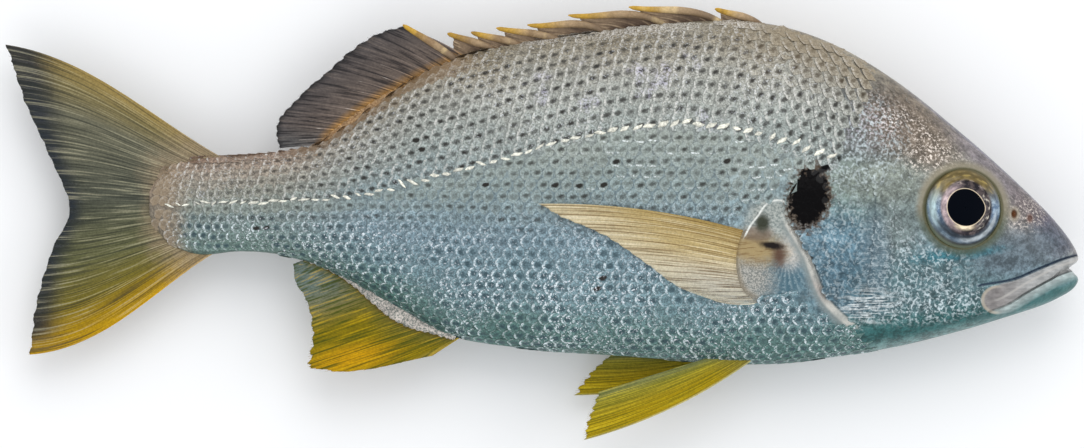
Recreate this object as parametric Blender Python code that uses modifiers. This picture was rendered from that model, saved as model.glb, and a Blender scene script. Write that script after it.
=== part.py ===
"""A whole raw sea bream lying on its left side, in metres, +Z up.

+X points to the snout and +Y to the back. The fish is first modelled about its own mid plane, z = 0, which
splits it into a right half (z > 0, shown) and a left half (z < 0, under it). The left flank is pressed flat
where it lies. At the end the tail sags a little and the whole fish is set down on z = 0.
"""

import bpy
import bmesh
import numpy as np
from mathutils import Matrix, Vector

TOTAL_LENGTH = 0.3228
DEEPEST_HALF_WIDTH = 0.0220
LYING_HALF_WIDTH = 0.0190
PRESS_BLEND = 0.0010
TAIL_SAG = 0.0065
SAG_STARTS_AT = -0.0200

# Body sections from the tail root to the snout: x, height of the back, height of the belly, half width.
BODY_SECTIONS = (
    (-0.1176, 0.0092, 0.0020, 0.0010),
    (-0.1155, 0.0128, -0.0022, 0.0018),
    (-0.1110, 0.0165, -0.0068, 0.0028),
    (-0.1023, 0.0190, -0.0098, 0.0040),
    (-0.0903, 0.0197, -0.0088, 0.0052),
    (-0.0783, 0.0207, -0.0098, 0.0065),
    (-0.0663, 0.0236, -0.0132, 0.0084),
    (-0.0543, 0.0315, -0.0192, 0.0107),
    (-0.0423, 0.0400, -0.0260, 0.0130),
    (-0.0303, 0.0468, -0.0325, 0.0150),
    (-0.0183, 0.0512, -0.0360, 0.0168),
    (-0.0003, 0.0544, -0.0384, 0.0190),
    (0.0177, 0.0572, -0.0396, 0.0207),
    (0.0357, 0.0594, -0.0411, 0.0216),
    (0.0537, 0.0604, -0.0424, 0.0220),
    (0.0717, 0.0588, -0.0423, 0.0219),
    (0.0897, 0.0524, -0.0402, 0.0210),
    (0.1077, 0.0414, -0.0372, 0.0191),
    (0.1257, 0.0270, -0.0327, 0.0161),
    (0.1377, 0.0165, -0.0291, 0.0133),
    (0.1497, 0.0051, -0.0252, 0.0097),
    (0.1557, -0.0015, -0.0225, 0.0074),
    (0.1594, -0.0066, -0.0202, 0.0052),
    (0.1610, -0.0099, -0.0180, 0.0031),
    (0.1614, -0.0125, -0.0155, 0.0008),
)
WIDEST_SHARE = 0.52
FLANK_POWER = 2.3
BACK_POWER = 1.65
BELLY_POWER = 1.85
TRUNK_RINGS = 25
HEAD_RINGS = 29
HEAD_STARTS_AT = 0.0700
RING_POINTS = 38

EYE_CENTRE = (0.1258, 0.0040)
EYE_RADIUS = 0.0120
EYE_DEPTH = 0.0048
EYE_STANDS_OUT = 0.0028
SOCKET_GAP = 0.0010
SOCKET_DEPTH = 0.0032
NOSTRILS = ((0.1413, 0.0024, 0.0010), (0.1461, 0.0011, 0.0007))
NOSTRIL_DEPTH = 0.0015
NOSTRIL_TALL = 1.4

MOUTH_LINE = (
    (0.1700, -0.0120),
    (0.1614, -0.0140),
    (0.1545, -0.0162),
    (0.1458, -0.0208),
    (0.1395, -0.0247),
    (0.1340, -0.0268),
)
MOUTH_GAP = 0.0007
LIP_BULGE = 0.0007
LIP_FROM_LINE = 0.0022
LIP_WIDTH = 0.0018
LIPS_END_AT = 0.1340
LIPS_FADE = 0.0060
GILL_EDGE = (
    (0.0891, 0.0195),
    (0.0800, 0.0155),
    (0.0738, 0.0090),
    (0.0732, 0.0030),
    (0.0759, -0.0024),
    (0.0800, -0.0095),
    (0.0843, -0.0204),
    (0.0885, -0.0258),
    (0.0960, -0.0322),
)
GILL_GAP = 0.0008
GILL_DEPTH = 0.0045
GILL_COVER_STEP = 0.0011
GILL_STEP_WIDTH = 0.0016
GILL_COVER_FADE = 0.0200
GILL_HOLLOW = 0.0007
GILL_HOLLOW_WIDTH = 0.0040
CHEEK_EDGE = ((0.0996, 0.0096), (0.0993, 0.0000), (0.0980, -0.0140), (0.0951, -0.0234), (0.0897, -0.0288))
CHEEK_STEP = 0.0005
CHEEK_FADE = 0.0060
HEAD_RELIEF_MIDDLE = -0.0060
HEAD_RELIEF_HALF_HEIGHT = 0.0215
HEAD_RELIEF_FADE = 0.0060
RELIEF_STARTS_AT_DEPTH = 0.0040

# Fins: the line that their rays stand on, and the line that the rays' ends reach.
TAIL_ROOTS = ((-0.0930, 0.0170), (-0.1085, 0.0130), (-0.1110, 0.0050), (-0.1085, -0.0030), (-0.0960, -0.0070))
TAIL_TIPS = (
    (-0.1614, 0.0534),
    (-0.1557, 0.0366),
    (-0.1488, 0.0216),
    (-0.1419, 0.0042),
    (-0.1473, -0.0084),
    (-0.1521, -0.0249),
    (-0.1542, -0.0399),
)
TAIL_BOWS = (0.0022, 0.0010, 0.0, -0.0006, -0.0022)
TAIL_RIB = 0.0010
BACK_FIN_ROOTS = ((-0.0270, 0.0460), (-0.0423, 0.0368), (-0.0543, 0.0283), (-0.0650, 0.0205))
BACK_FIN_TIPS = (
    (-0.0415, 0.0592),
    (-0.0483, 0.0570),
    (-0.0543, 0.0537),
    (-0.0663, 0.0435),
    (-0.0765, 0.0335),
    (-0.0795, 0.0270),
    (-0.0788, 0.0222),
)
BACK_FIN_BOWS = (0.0012, 0.0)
# Folded back spines, from the head to the soft rays: where each leaves the back, and where its tip lies.
SPINE_ROOTS = (
    (0.0672, 0.0580),
    (0.0552, 0.0592),
    (0.0387, 0.0580),
    (0.0207, 0.0556),
    (0.0087, 0.0532),
    (-0.0033, 0.0517),
    (-0.0123, 0.0510),
    (-0.0240, 0.0475),
)
SPINE_TIPS = (
    (0.0522, 0.0640),
    (0.0264, 0.0645),
    (0.0084, 0.0620),
    (-0.0039, 0.0591),
    (-0.0134, 0.0582),
    (-0.0210, 0.0569),
    (-0.0282, 0.0566),
    (-0.0415, 0.0592),
)
SPINE_RADIUS = 0.0010
SPINE_SINK = (0.0040, 0.0050)
SPINE_NOTCH = 0.0050
VENT_FIN_ROOTS = (
    (-0.0270, -0.0325),
    (-0.0363, -0.0268),
    (-0.0483, -0.0208),
    (-0.0588, -0.0145),
    (-0.0700, -0.0095),
)
VENT_FIN_TIPS = (
    (-0.0327, -0.0411),
    (-0.0564, -0.0456),
    (-0.0714, -0.0437),
    (-0.0690, -0.0369),
    (-0.0684, -0.0309),
    (-0.0708, -0.0234),
    (-0.0750, -0.0132),
)
VENT_FIN_BOWS = (-0.0008, 0.0)
PECTORAL_ROOTS = ((0.0735, -0.0070), (0.0700, -0.0120), (0.0672, -0.0180), (0.0665, -0.0236))
PECTORAL_TIPS = (
    (-0.0012, 0.0054),
    (0.0057, 0.0015),
    (0.0183, -0.0039),
    (0.0306, -0.0120),
    (0.0405, -0.0192),
    (0.0520, -0.0236),
)
PECTORAL_BOWS = (0.0035, 0.0010, -0.0010)
PECTORAL_LIFT = 0.0038
PECTORAL_SINK = 0.0018
PECTORAL_DENT = 0.0011
DENT_MARGIN = 0.0010
DENT_EDGE = 0.0080
PELVIC_ROOTS = ((0.0640, -0.0405), (0.0570, -0.0388))
PELVIC_TIPS_NEAR = ((0.0123, -0.0654), (0.0129, -0.0609), (0.0153, -0.0549), (0.0168, -0.0510))
PELVIC_TIPS_FAR = ((0.0093, -0.0522), (0.0117, -0.0489), (0.0153, -0.0444), (0.0205, -0.0400))
PELVIC_BOWS = (-0.0028, 0.0)
PELVIC_SIDE = 0.0040
PELVIC_SPLAY_NEAR = 0.0020
PELVIC_SPLAY_FAR = -0.0060

# Fin thickness on each side of the mid plane: a ray's rib and the web between rays, at the root.
RIB = 0.0008
WEB = 0.0004
THIN_RIB = 0.0006
THIN_WEB = 0.0003
NOTCH = 0.0008
RIB_TAPER = 0.7
WEB_TAPER = 0.4
ROOT_OVERLAP = 0.05
PLATE_OUTER = 0.0006
PLATE_INNER = 0.0010
PLATE_EDGE = 0.0004

MERGE = 0.00002


def clear_scene():
    for obj in list(bpy.data.objects):
        bpy.data.objects.remove(obj)


def new_collection(name):
    collection = bpy.data.collections.new(name)
    bpy.context.scene.collection.children.link(collection)
    return collection


def material(name, colour, roughness, metallic):
    made = bpy.data.materials.new(name)
    made.use_nodes = True
    shader = made.node_tree.nodes["Principled BSDF"]
    shader.inputs["Base Color"].default_value = (*colour, 1.0)
    shader.inputs["Roughness"].default_value = roughness
    shader.inputs["Metallic"].default_value = metallic
    made.diffuse_color = (*colour, 1.0)
    return made


def spline(rows, count):
    """count rows evenly spread by row number along a smooth curve through the given rows (Catmull-Rom)."""
    rows = np.array(rows, float)
    padded = np.vstack([2 * rows[0] - rows[1], rows, 2 * rows[-1] - rows[-2]])
    at = np.linspace(0.0, len(rows) - 1.0, count)
    piece = np.minimum(at.astype(int), len(rows) - 2)
    s = (at - piece)[:, None]
    before, first, second, after = (padded[piece + k] for k in range(4))
    return 0.5 * (
        2 * first
        + (second - before) * s
        + (2 * before - 5 * first + 4 * second - after) * s**2
        + (3 * first - before - 3 * second + after) * s**3
    )


def even_curve(points, count):
    """count points at equal distances along the smooth curve through the given points."""
    fine = spline(points, 40 * len(points)) if len(points) > 2 else np.array(points, float)
    run = np.concatenate([[0.0], np.cumsum(np.linalg.norm(np.diff(fine, axis=0), axis=1))])
    at = np.linspace(0.0, run[-1], count)
    return np.stack([np.interp(at, run, fine[:, k]) for k in range(fine.shape[1])], 1)


def distance_to(path, x, y):
    """Distance of the points (x, y) from a path, and their side of it: positive is left of its direction."""
    path = np.array(path, float)
    best = np.full(np.shape(x), np.inf)
    side = np.zeros(np.shape(x))
    for a, b in zip(path[:-1], path[1:]):
        along = b - a
        t = np.clip(((x - a[0]) * along[0] + (y - a[1]) * along[1]) / (along @ along), 0.0, 1.0)
        off_x = x - a[0] - t * along[0]
        off_y = y - a[1] - t * along[1]
        away = np.hypot(off_x, off_y)
        nearer = away < best
        best = np.where(nearer, away, best)
        side = np.where(nearer, np.sign(along[0] * off_y - along[1] * off_x), side)
    return best, side


SECTION_CURVE = spline(BODY_SECTIONS, 24 * len(BODY_SECTIONS))


def section_at(x):
    """Back height, belly height and half width of the body at x."""
    return tuple(np.interp(x, SECTION_CURVE[:, 0], SECTION_CURVE[:, k]) for k in (1, 2, 3))


def half_thickness(x, y):
    """How far the round body reaches from its mid plane at (x, y), before the flank is pressed."""
    back, belly, half = section_at(x)
    middle = belly + WIDEST_SHARE * (back - belly)
    up = y > middle
    share = np.clip(np.abs(y - middle) / np.where(up, back - middle, middle - belly), 0.0, 1.0)
    power = np.where(up, BACK_POWER, BELLY_POWER)
    return half * (1.0 - share**FLANK_POWER) ** (1.0 / power)


def pressed(depth):
    """The depth of the left flank once the fish lies on it: flat at LYING_HALF_WIDTH, with a soft edge."""
    start = LYING_HALF_WIDTH - PRESS_BLEND
    over = np.clip(depth - start, 0.0, 2 * PRESS_BLEND)
    return np.where(depth <= start, depth, start + over - over**2 / (4 * PRESS_BLEND))


def gill_cover_relief(x, y):
    """The gill cover ends in a step over the flank, with a hollow behind it, and the cheek has an edge."""
    away, side = distance_to(even_curve(GILL_EDGE, 40), x, y)
    ahead = np.where(side > 0, away, 0.0)
    behind = np.where(side > 0, 0.0, away)
    step = np.clip((ahead - behind) / GILL_STEP_WIDTH + 0.5, 0.0, 1.0)
    cover = GILL_COVER_STEP * step * np.exp(-ahead / GILL_COVER_FADE)
    hollow = GILL_HOLLOW * (side <= 0) * np.exp(-((behind / GILL_HOLLOW_WIDTH) ** 2))
    cheek_away, cheek_side = distance_to(even_curve(CHEEK_EDGE, 30), x, y)
    cheek = CHEEK_STEP * (cheek_side > 0) * np.exp(-cheek_away / CHEEK_FADE)
    within = np.clip((HEAD_RELIEF_HALF_HEIGHT - np.abs(y - HEAD_RELIEF_MIDDLE)) / HEAD_RELIEF_FADE, 0.0, 1.0)
    return (cover - hollow + cheek) * within


def lip_relief(x, y):
    """The lips swell on both sides of the mouth line."""
    away, _ = distance_to(even_curve(MOUTH_LINE, 30), x, y)
    near_front = np.clip((x - LIPS_END_AT) / LIPS_FADE, 0.0, 1.0)
    return LIP_BULGE * np.exp(-(((away - LIP_FROM_LINE) / LIP_WIDTH) ** 2)) * near_front


def head_relief(x, y, depth):
    """All relief of the head, faded out where the skin turns over the back and the belly."""
    return (gill_cover_relief(x, y) + lip_relief(x, y)) * np.clip(depth / RELIEF_STARTS_AT_DEPTH, 0.0, 1.0)


def surface_height(x, y):
    """Distance of the round skin from the mid plane, with the head's relief."""
    depth = half_thickness(x, y)
    return depth + head_relief(x, y, depth)


def smooth_step(t):
    t = np.clip(t, 0.0, 1.0)
    return t * t * (3.0 - 2.0 * t)


def pectoral_outline():
    tips = even_curve(PECTORAL_TIPS, 24)
    roots = even_curve(PECTORAL_ROOTS, 8)
    return np.vstack([tips, roots[::-1], tips[:1]])


def inside_outline(outline, x, y):
    """How far inside a closed outline the points are; negative outside. The outline may run either way."""
    away, _ = distance_to(outline, x, y)
    winding = np.zeros(np.shape(x))
    for a, b in zip(outline[:-1], outline[1:]):
        first = np.arctan2(a[1] - y, a[0] - x)
        second = np.arctan2(b[1] - y, b[0] - x)
        winding = winding + (second - first + np.pi) % (2 * np.pi) - np.pi
    return np.where(np.abs(winding) > np.pi, away, -away)


def left_depth(x, y, depth):
    """Depth of the left flank as it lies: pressed flat, and dented round the fin that is caught under it."""
    inside = inside_outline(pectoral_outline(), x, y) + DENT_MARGIN
    dent = PECTORAL_DENT * smooth_step(1.0 + inside / DENT_EDGE)
    return np.minimum(pressed(depth), LYING_HALF_WIDTH - dent)


def ring_positions():
    trunk = np.linspace(BODY_SECTIONS[0][0], HEAD_STARTS_AT, TRUNK_RINGS, endpoint=False)
    head = np.linspace(0.0, 1.0, HEAD_RINGS)
    head = HEAD_STARTS_AT + (BODY_SECTIONS[-1][0] - HEAD_STARTS_AT) * (1.6 * head - 0.6 * head**2)
    return np.concatenate([trunk, head])


def body_ring(x):
    """One closed section of the body at x, as points around it."""
    back, belly, half = section_at(x)
    middle = belly + WIDEST_SHARE * (back - belly)
    angle = np.linspace(0.0, 2 * np.pi, RING_POINTS, endpoint=False)
    rise, out = np.sin(angle), np.cos(angle)
    reach = np.where(rise > 0, back - middle, middle - belly)
    power = np.where(rise > 0, BACK_POWER, BELLY_POWER)
    y = middle + reach * np.sign(rise) * np.abs(rise) ** (2 / FLANK_POWER)
    z = half * np.sign(out) * np.abs(out) ** (2 / power)
    z = z + np.sign(z) * head_relief(x, y, np.abs(z))
    x = np.full(RING_POINTS, x)
    return np.stack([x, y, np.where(z < 0, -left_depth(x, y, -z), z)], 1)


def loft(name, rings):
    """A closed skin through rings that all have the same number of points."""
    mesh = bpy.data.meshes.new(name)
    bm = bmesh.new()
    loops = [[bm.verts.new(point) for point in ring] for ring in rings]
    for near, far in zip(loops[:-1], loops[1:]):
        for k in range(len(near)):
            after = (k + 1) % len(near)
            bm.faces.new((near[k], near[after], far[after], far[k]))
    bm.faces.new(loops[0])
    bm.faces.new(loops[-1])
    bm.to_mesh(mesh)
    bm.free()
    return turn_outward(mesh)


def add_object(name, mesh, collection, finish=None):
    obj = bpy.data.objects.new(name, mesh)
    collection.objects.link(obj)
    if finish:
        mesh.materials.clear()
        mesh.materials.append(finish)
    return obj


def as_cutter(obj):
    obj.hide_render = True
    obj.display_type = "WIRE"
    return obj


def settled_mesh(obj):
    """The object's mesh with its modifiers applied and its place worked in."""
    bpy.context.view_layer.update()
    evaluated = obj.evaluated_get(bpy.context.evaluated_depsgraph_get())
    mesh = bpy.data.meshes.new_from_object(evaluated)
    mesh.transform(obj.matrix_world)
    return mesh


def turn_outward(mesh):
    """Joins points that lie on each other, splits faces into flat triangles and turns them outward."""
    bm = bmesh.new()
    bm.from_mesh(mesh)
    bmesh.ops.remove_doubles(bm, verts=bm.verts, dist=MERGE)
    bmesh.ops.triangulate(bm, faces=bm.faces)
    bm.normal_update()
    bmesh.ops.recalc_face_normals(bm, faces=bm.faces)
    bm.to_mesh(mesh)
    bm.free()
    return mesh


def replace_with_settled(obj, collection):
    """Swaps an object for one plain mesh object of the same name, with closed caps."""
    name, mesh = obj.name, settled_mesh(obj)
    bpy.data.objects.remove(obj)
    return add_object(name, turn_outward(mesh), collection)


def band_cutter(name, path, width, low, high, collection):
    """An upright wall of the given width along a path in the side view, from z = low to z = high."""
    line = even_curve(path, 22)
    run = np.gradient(line, axis=0)
    run /= np.linalg.norm(run, axis=1)[:, None]
    across = np.stack([-run[:, 1], run[:, 0]], 1) * width / 2
    outline = np.vstack([line + across, (line - across)[::-1]])
    curve = bpy.data.curves.new(name, "CURVE")
    curve.dimensions = "2D"
    curve.fill_mode = "BOTH"
    curve.extrude = (high - low) / 2
    edge = curve.splines.new("POLY")
    edge.points.add(len(outline) - 1)
    for point, (x, y) in zip(edge.points, outline):
        point.co = (x, y, 0.0, 1.0)
    edge.use_cyclic_u = True
    obj = bpy.data.objects.new(name, curve)
    obj.location.z = (high + low) / 2
    collection.objects.link(obj)
    bpy.context.view_layer.update()
    return as_cutter(replace_with_settled(obj, collection))


def ball(name, centre, rise, radii, collection, side=1, segments=24, rings=10):
    """An ellipsoid with its short axis square to the skin and its centre that far over the skin round it.

    side is 1 on the right of the fish and -1 on its left.
    """
    x, y = centre
    reach = radii[0]
    ahead, after = half_thickness(x + reach, y), half_thickness(x - reach, y)
    above, below = half_thickness(x, y + reach), half_thickness(x, y - reach)
    square = Vector(((after - ahead) / (2 * reach), (below - above) / (2 * reach), 1.0))
    place = Vector((x, y, (ahead + after + above + below) / 4 + rise))
    mesh = bpy.data.meshes.new(name)
    bm = bmesh.new()
    bmesh.ops.create_uvsphere(bm, u_segments=segments, v_segments=rings, radius=1.0)
    turn = Vector((0.0, 0.0, 1.0)).rotation_difference(square).to_matrix().to_4x4()
    bm.transform(Matrix.Translation(place) @ turn @ Matrix.Diagonal((*radii, 1.0)))
    bm.transform(Matrix.Diagonal((1.0, 1.0, side, 1.0)))
    bm.to_mesh(mesh)
    bm.free()
    return add_object(name, turn_outward(mesh), collection)


def fin_half(root, tip, bows, steps, rib, web, notch):
    """One side of a ribbed fin about z = 0, open at that plane: rays stand out between thinner webs.

    root and tip hold the two ends of each column; every second column is a ray.
    """
    columns = len(root)
    bow = np.interp(np.linspace(0, 1, columns), np.linspace(0, 1, len(bows)), bows)[:, None]
    span = tip - root
    length = np.linalg.norm(span, axis=1)[:, None]
    across = np.stack([-span[:, 1], span[:, 0]], 1) / length
    is_web = np.arange(columns) % 2 == 0
    tip = tip - span / length * notch * is_web[:, None]
    shares = np.concatenate([[-ROOT_OVERLAP], np.linspace(0.0, 1.0, steps + 1)])
    bm = bmesh.new()
    rows = []
    for share in shares:
        points = root + (tip - root) * share - across * bow * 4 * share * (1 - share)
        thick = np.where(is_web, web * (1 - WEB_TAPER * share), rib * (1 - RIB_TAPER * share))
        thick[[0, -1]] = 0
        if share in (shares[0], shares[-1]):
            thick[:] = 0
        rows.append([bm.verts.new((x, y, z)) for (x, y), z in zip(points, thick)])
    for near, far in zip(rows[:-1], rows[1:]):
        for k in range(columns - 1):
            corners = [near[k], near[k + 1], far[k + 1], far[k]]
            thickest = max(range(4), key=lambda c: corners[c].co.z)
            a, b, c, d = corners[thickest:] + corners[:thickest]
            bm.faces.new((a, b, c))
            bm.faces.new((a, c, d))
    return bm


def fin_of_columns(name, collection, root, tip, bows=(0.0, 0.0), steps=6, rib=RIB, web=WEB, notch=NOTCH):
    """A flat ribbed fin in the mid plane: one half and its mirror image."""
    mesh = bpy.data.meshes.new(name)
    bm = fin_half(root, tip, bows, steps, rib, web, notch)
    bm.to_mesh(mesh)
    bm.free()
    obj = add_object(name, mesh, collection)
    mirror = obj.modifiers.new("other_side", "MIRROR")
    mirror.use_axis = (False, False, True)
    mirror.merge_threshold = MERGE
    return replace_with_settled(obj, collection)


def fin(name, collection, roots, tips, rays=10, **sizes):
    """A fan fin whose rays stand evenly between the line of its roots and the line of its tips."""
    columns = 2 * rays + 1
    return fin_of_columns(name, collection, even_curve(roots, columns), even_curve(tips, columns), **sizes)


def move_vertices(obj, rule):
    """Gives every vertex a new z worked out by rule(x, y, z)."""
    points = np.empty(len(obj.data.vertices) * 3, np.float32)
    obj.data.vertices.foreach_get("co", points)
    points = points.reshape(-1, 3).astype(float)
    points[:, 2] = rule(points[:, 0], points[:, 1], points[:, 2])
    obj.data.vertices.foreach_set("co", points.astype(np.float32).ravel())
    turn_outward(obj.data)
    return obj


def reach_back(x, roots, tips):
    """0 at the front of a fin's root, 1 at its far tip."""
    return np.clip((roots[0][0] - x) / (roots[0][0] - tips[0][0]), 0.0, 1.0)


def near_pectoral(x, y, z):
    """The shown pectoral fin leaves the flank at its root and stands off a little at its tip."""
    reach = reach_back(x, PECTORAL_ROOTS, PECTORAL_TIPS)
    return surface_height(x, y) - PECTORAL_SINK + PECTORAL_LIFT * np.sqrt(reach) + z


def far_pectoral(x, y, z):
    """The other one is pressed between the flank and what the fish lies on."""
    skin = left_depth(x, y, half_thickness(x, y))
    outer = np.minimum(skin + PLATE_OUTER + z, LYING_HALF_WIDTH)
    return -np.where(z > 0, outer, skin - np.where(z < 0, PLATE_INNER, PLATE_EDGE))


def pelvic_rule(splay, side):
    def rule(x, y, z):
        return side * PELVIC_SIDE + splay * reach_back(x, PELVIC_ROOTS, PELVIC_TIPS_NEAR) + z

    return rule


def with_ends(columns):
    """Adds half a step before the first column and after the last."""
    first = 1.5 * columns[:1] - 0.5 * columns[2:3]
    last = 1.5 * columns[-1:] - 0.5 * columns[-3:-2]
    return np.vstack([first, columns, last])


def spiny_fin(collection):
    """The folded spines lie one behind the other, with a web between each spine and the next."""
    columns = 2 * len(SPINE_ROOTS) - 1
    root = with_ends(spline(SPINE_ROOTS, columns)) - np.array(SPINE_SINK)
    tip = with_ends(spline(SPINE_TIPS, columns))
    fin_of_columns("spiny_fin", collection, root, tip, steps=4, rib=SPINE_RADIUS, notch=SPINE_NOTCH)


def build_fins(collection):
    fin("tail_fin", collection, TAIL_ROOTS, TAIL_TIPS, rays=17, bows=TAIL_BOWS, steps=5, rib=TAIL_RIB)
    fin("back_fin", collection, BACK_FIN_ROOTS, BACK_FIN_TIPS, rays=14, bows=BACK_FIN_BOWS, steps=4)
    spiny_fin(collection)
    fin("vent_fin", collection, VENT_FIN_ROOTS, VENT_FIN_TIPS, rays=11, bows=VENT_FIN_BOWS, steps=5)
    pectoral = dict(roots=PECTORAL_ROOTS, tips=PECTORAL_TIPS, rays=12, bows=PECTORAL_BOWS)
    pectoral.update(rib=THIN_RIB, web=THIN_WEB)
    move_vertices(fin("near_pectoral", collection, steps=7, **pectoral), near_pectoral)
    move_vertices(fin("far_pectoral", collection, steps=6, **pectoral), far_pectoral)
    pelvic = dict(roots=PELVIC_ROOTS, rays=5, bows=PELVIC_BOWS, steps=6)
    near = fin("near_pelvic", collection, tips=PELVIC_TIPS_NEAR, **pelvic)
    move_vertices(near, pelvic_rule(PELVIC_SPLAY_NEAR, 1))
    far = fin("far_pelvic", collection, tips=PELVIC_TIPS_FAR, **pelvic)
    move_vertices(far, pelvic_rule(PELVIC_SPLAY_FAR, -1))


def build_eyes(sockets, eyes):
    """A socket is cut on each side, and an eyeball a little smaller stands in it."""
    socket = EYE_RADIUS + SOCKET_GAP
    for side in (1, -1):
        as_cutter(ball(f"socket_{side}", EYE_CENTRE, 0.0, (socket, socket, SOCKET_DEPTH), sockets, side))
        rise = EYE_STANDS_OUT - EYE_DEPTH
        ball(f"eyeball_{side}", EYE_CENTRE, rise, (EYE_RADIUS, EYE_RADIUS, EYE_DEPTH), eyes, side)


def build_openings(cutters):
    """The mouth's gap, the slit behind each gill cover, and the nostrils."""
    clear = 1.5 * DEEPEST_HALF_WIDTH
    band_cutter("mouth_gap", MOUTH_LINE, MOUTH_GAP, -clear, clear, cutters)
    inner = float(half_thickness(*GILL_EDGE[3])) - GILL_DEPTH
    band_cutter("gill_slit_near", GILL_EDGE[1:-1], GILL_GAP, inner, clear, cutters)
    band_cutter("gill_slit_far", GILL_EDGE[1:-1], GILL_GAP, -clear, -inner, cutters)
    for k, (x, y, radius) in enumerate(NOSTRILS):
        radii = (radius, radius * NOSTRIL_TALL, NOSTRIL_DEPTH)
        for side in (1, -1):
            as_cutter(ball(f"nostril_{k}_{side}", (x, y), 0.0, radii, cutters, side, segments=10, rings=6))


def combine(obj, collection, operation):
    """Joins or cuts with a whole collection, applies it, and removes the collection's objects."""
    boolean = obj.modifiers.new(operation.lower(), "BOOLEAN")
    boolean.operation = operation
    boolean.operand_type = "COLLECTION"
    boolean.collection = collection
    boolean.solver = "EXACT"
    mesh = settled_mesh(obj)
    obj.modifiers.clear()
    obj.data = mesh
    for used in list(collection.objects):
        bpy.data.objects.remove(used)


def sagged(x, y, z):
    """The tail hangs lower the further it reaches past the trunk."""
    reach = np.clip(SAG_STARTS_AT - x, 0.0, None) / (SAG_STARTS_AT + TOTAL_LENGTH / 2)
    return z - TAIL_SAG * reach**2


def set_down(obj):
    """Puts the fish on z = 0 with its box centred on the origin."""
    points = np.array([vertex.co for vertex in obj.data.vertices])
    low, high = points.min(0), points.max(0)
    shift = Vector((-(low[0] + high[0]) / 2, -(low[1] + high[1]) / 2, -low[2]))
    obj.data.transform(Matrix.Translation(shift))


def main():
    clear_scene()
    model = new_collection("whole_fish")
    cutters = new_collection("openings")
    eyes = new_collection("eyes")
    fins = new_collection("fins")
    skin = material("silver_skin", (0.42, 0.46, 0.47), 0.35, 0.35)
    fish = add_object("fish", loft("fish", [body_ring(x) for x in ring_positions()]), model, skin)
    build_openings(cutters)
    build_eyes(cutters, eyes)
    combine(fish, cutters, "DIFFERENCE")
    build_fins(fins)
    for made in list(eyes.objects):
        fins.objects.link(made)
    combine(fish, fins, "UNION")
    move_vertices(fish, sagged)
    set_down(fish)
    fish.data.materials.clear()
    fish.data.materials.append(skin)
    fish.data.shade_smooth()
    fish.data.set_sharp_from_angle(angle=np.radians(40))


main()
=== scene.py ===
"""The looks of a whole raw sea bream, built around its packed solid.

The fish lies on its left flank, head to +X and back to +Y, and the camera looks straight down on it. Shapes
are worked out in the fish's own frame, in which z = 0 is its mid plane and z > 0 the side that shows, and
settle() lays them down where the packed solid is. Sizes are metres, except in materials, which work in
millimetres.
"""

import bpy
import numpy as np
from mathutils import Matrix, Vector


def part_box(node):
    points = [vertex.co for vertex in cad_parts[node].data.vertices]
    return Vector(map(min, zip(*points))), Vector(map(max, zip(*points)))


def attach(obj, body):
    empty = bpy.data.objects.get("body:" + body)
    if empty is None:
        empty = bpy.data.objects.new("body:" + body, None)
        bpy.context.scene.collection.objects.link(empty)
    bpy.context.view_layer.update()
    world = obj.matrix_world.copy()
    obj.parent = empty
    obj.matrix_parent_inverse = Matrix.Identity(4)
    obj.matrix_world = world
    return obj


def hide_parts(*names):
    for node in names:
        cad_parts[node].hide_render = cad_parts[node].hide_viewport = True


bl_info = {
    "name": "Whole sea bream",
    "version": (1, 0, 0),
    "blender": (4, 5, 0),
    "location": "3D View > Sidebar > Fish",
    "description": "Skin, scales, eyes and fins of a whole raw sea bream",
    "category": "Add Mesh",
}

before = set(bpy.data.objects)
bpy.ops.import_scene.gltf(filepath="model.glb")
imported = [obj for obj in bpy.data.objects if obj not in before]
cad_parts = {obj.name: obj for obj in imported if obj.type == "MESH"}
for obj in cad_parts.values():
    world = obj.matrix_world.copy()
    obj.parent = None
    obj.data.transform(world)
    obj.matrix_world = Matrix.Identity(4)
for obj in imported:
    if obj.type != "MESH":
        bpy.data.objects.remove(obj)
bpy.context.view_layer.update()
FISH_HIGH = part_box("fish")[1]

# The body, as in the solid. Sections: x, height of the back, height of the belly, half width.
BODY_SECTIONS = (
    (-0.1176, 0.0092, 0.0020, 0.0010),
    (-0.1155, 0.0128, -0.0022, 0.0018),
    (-0.1110, 0.0165, -0.0068, 0.0028),
    (-0.1023, 0.0190, -0.0098, 0.0040),
    (-0.0903, 0.0197, -0.0088, 0.0052),
    (-0.0783, 0.0207, -0.0098, 0.0065),
    (-0.0663, 0.0236, -0.0132, 0.0084),
    (-0.0543, 0.0315, -0.0192, 0.0107),
    (-0.0423, 0.0400, -0.0260, 0.0130),
    (-0.0303, 0.0468, -0.0325, 0.0150),
    (-0.0183, 0.0512, -0.0360, 0.0168),
    (-0.0003, 0.0544, -0.0384, 0.0190),
    (0.0177, 0.0572, -0.0396, 0.0207),
    (0.0357, 0.0594, -0.0411, 0.0216),
    (0.0537, 0.0604, -0.0424, 0.0220),
    (0.0717, 0.0588, -0.0423, 0.0219),
    (0.0897, 0.0524, -0.0402, 0.0210),
    (0.1077, 0.0414, -0.0372, 0.0191),
    (0.1257, 0.0270, -0.0327, 0.0161),
    (0.1377, 0.0165, -0.0291, 0.0133),
    (0.1497, 0.0051, -0.0252, 0.0097),
    (0.1557, -0.0015, -0.0225, 0.0074),
    (0.1594, -0.0066, -0.0202, 0.0052),
    (0.1610, -0.0099, -0.0180, 0.0031),
    (0.1614, -0.0125, -0.0155, 0.0008),
)
TOTAL_LENGTH = 0.3228
SNOUT_X = 0.1614
TOP_Y = 0.0645
WIDEST_SHARE = 0.52
FLANK_POWER = 2.3
BACK_POWER = 1.65
BELLY_POWER = 1.85
LYING_HALF_WIDTH = 0.0190
PRESS_BLEND = 0.0010
TAIL_SAG = 0.0065
SAG_STARTS_AT = -0.0200
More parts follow.
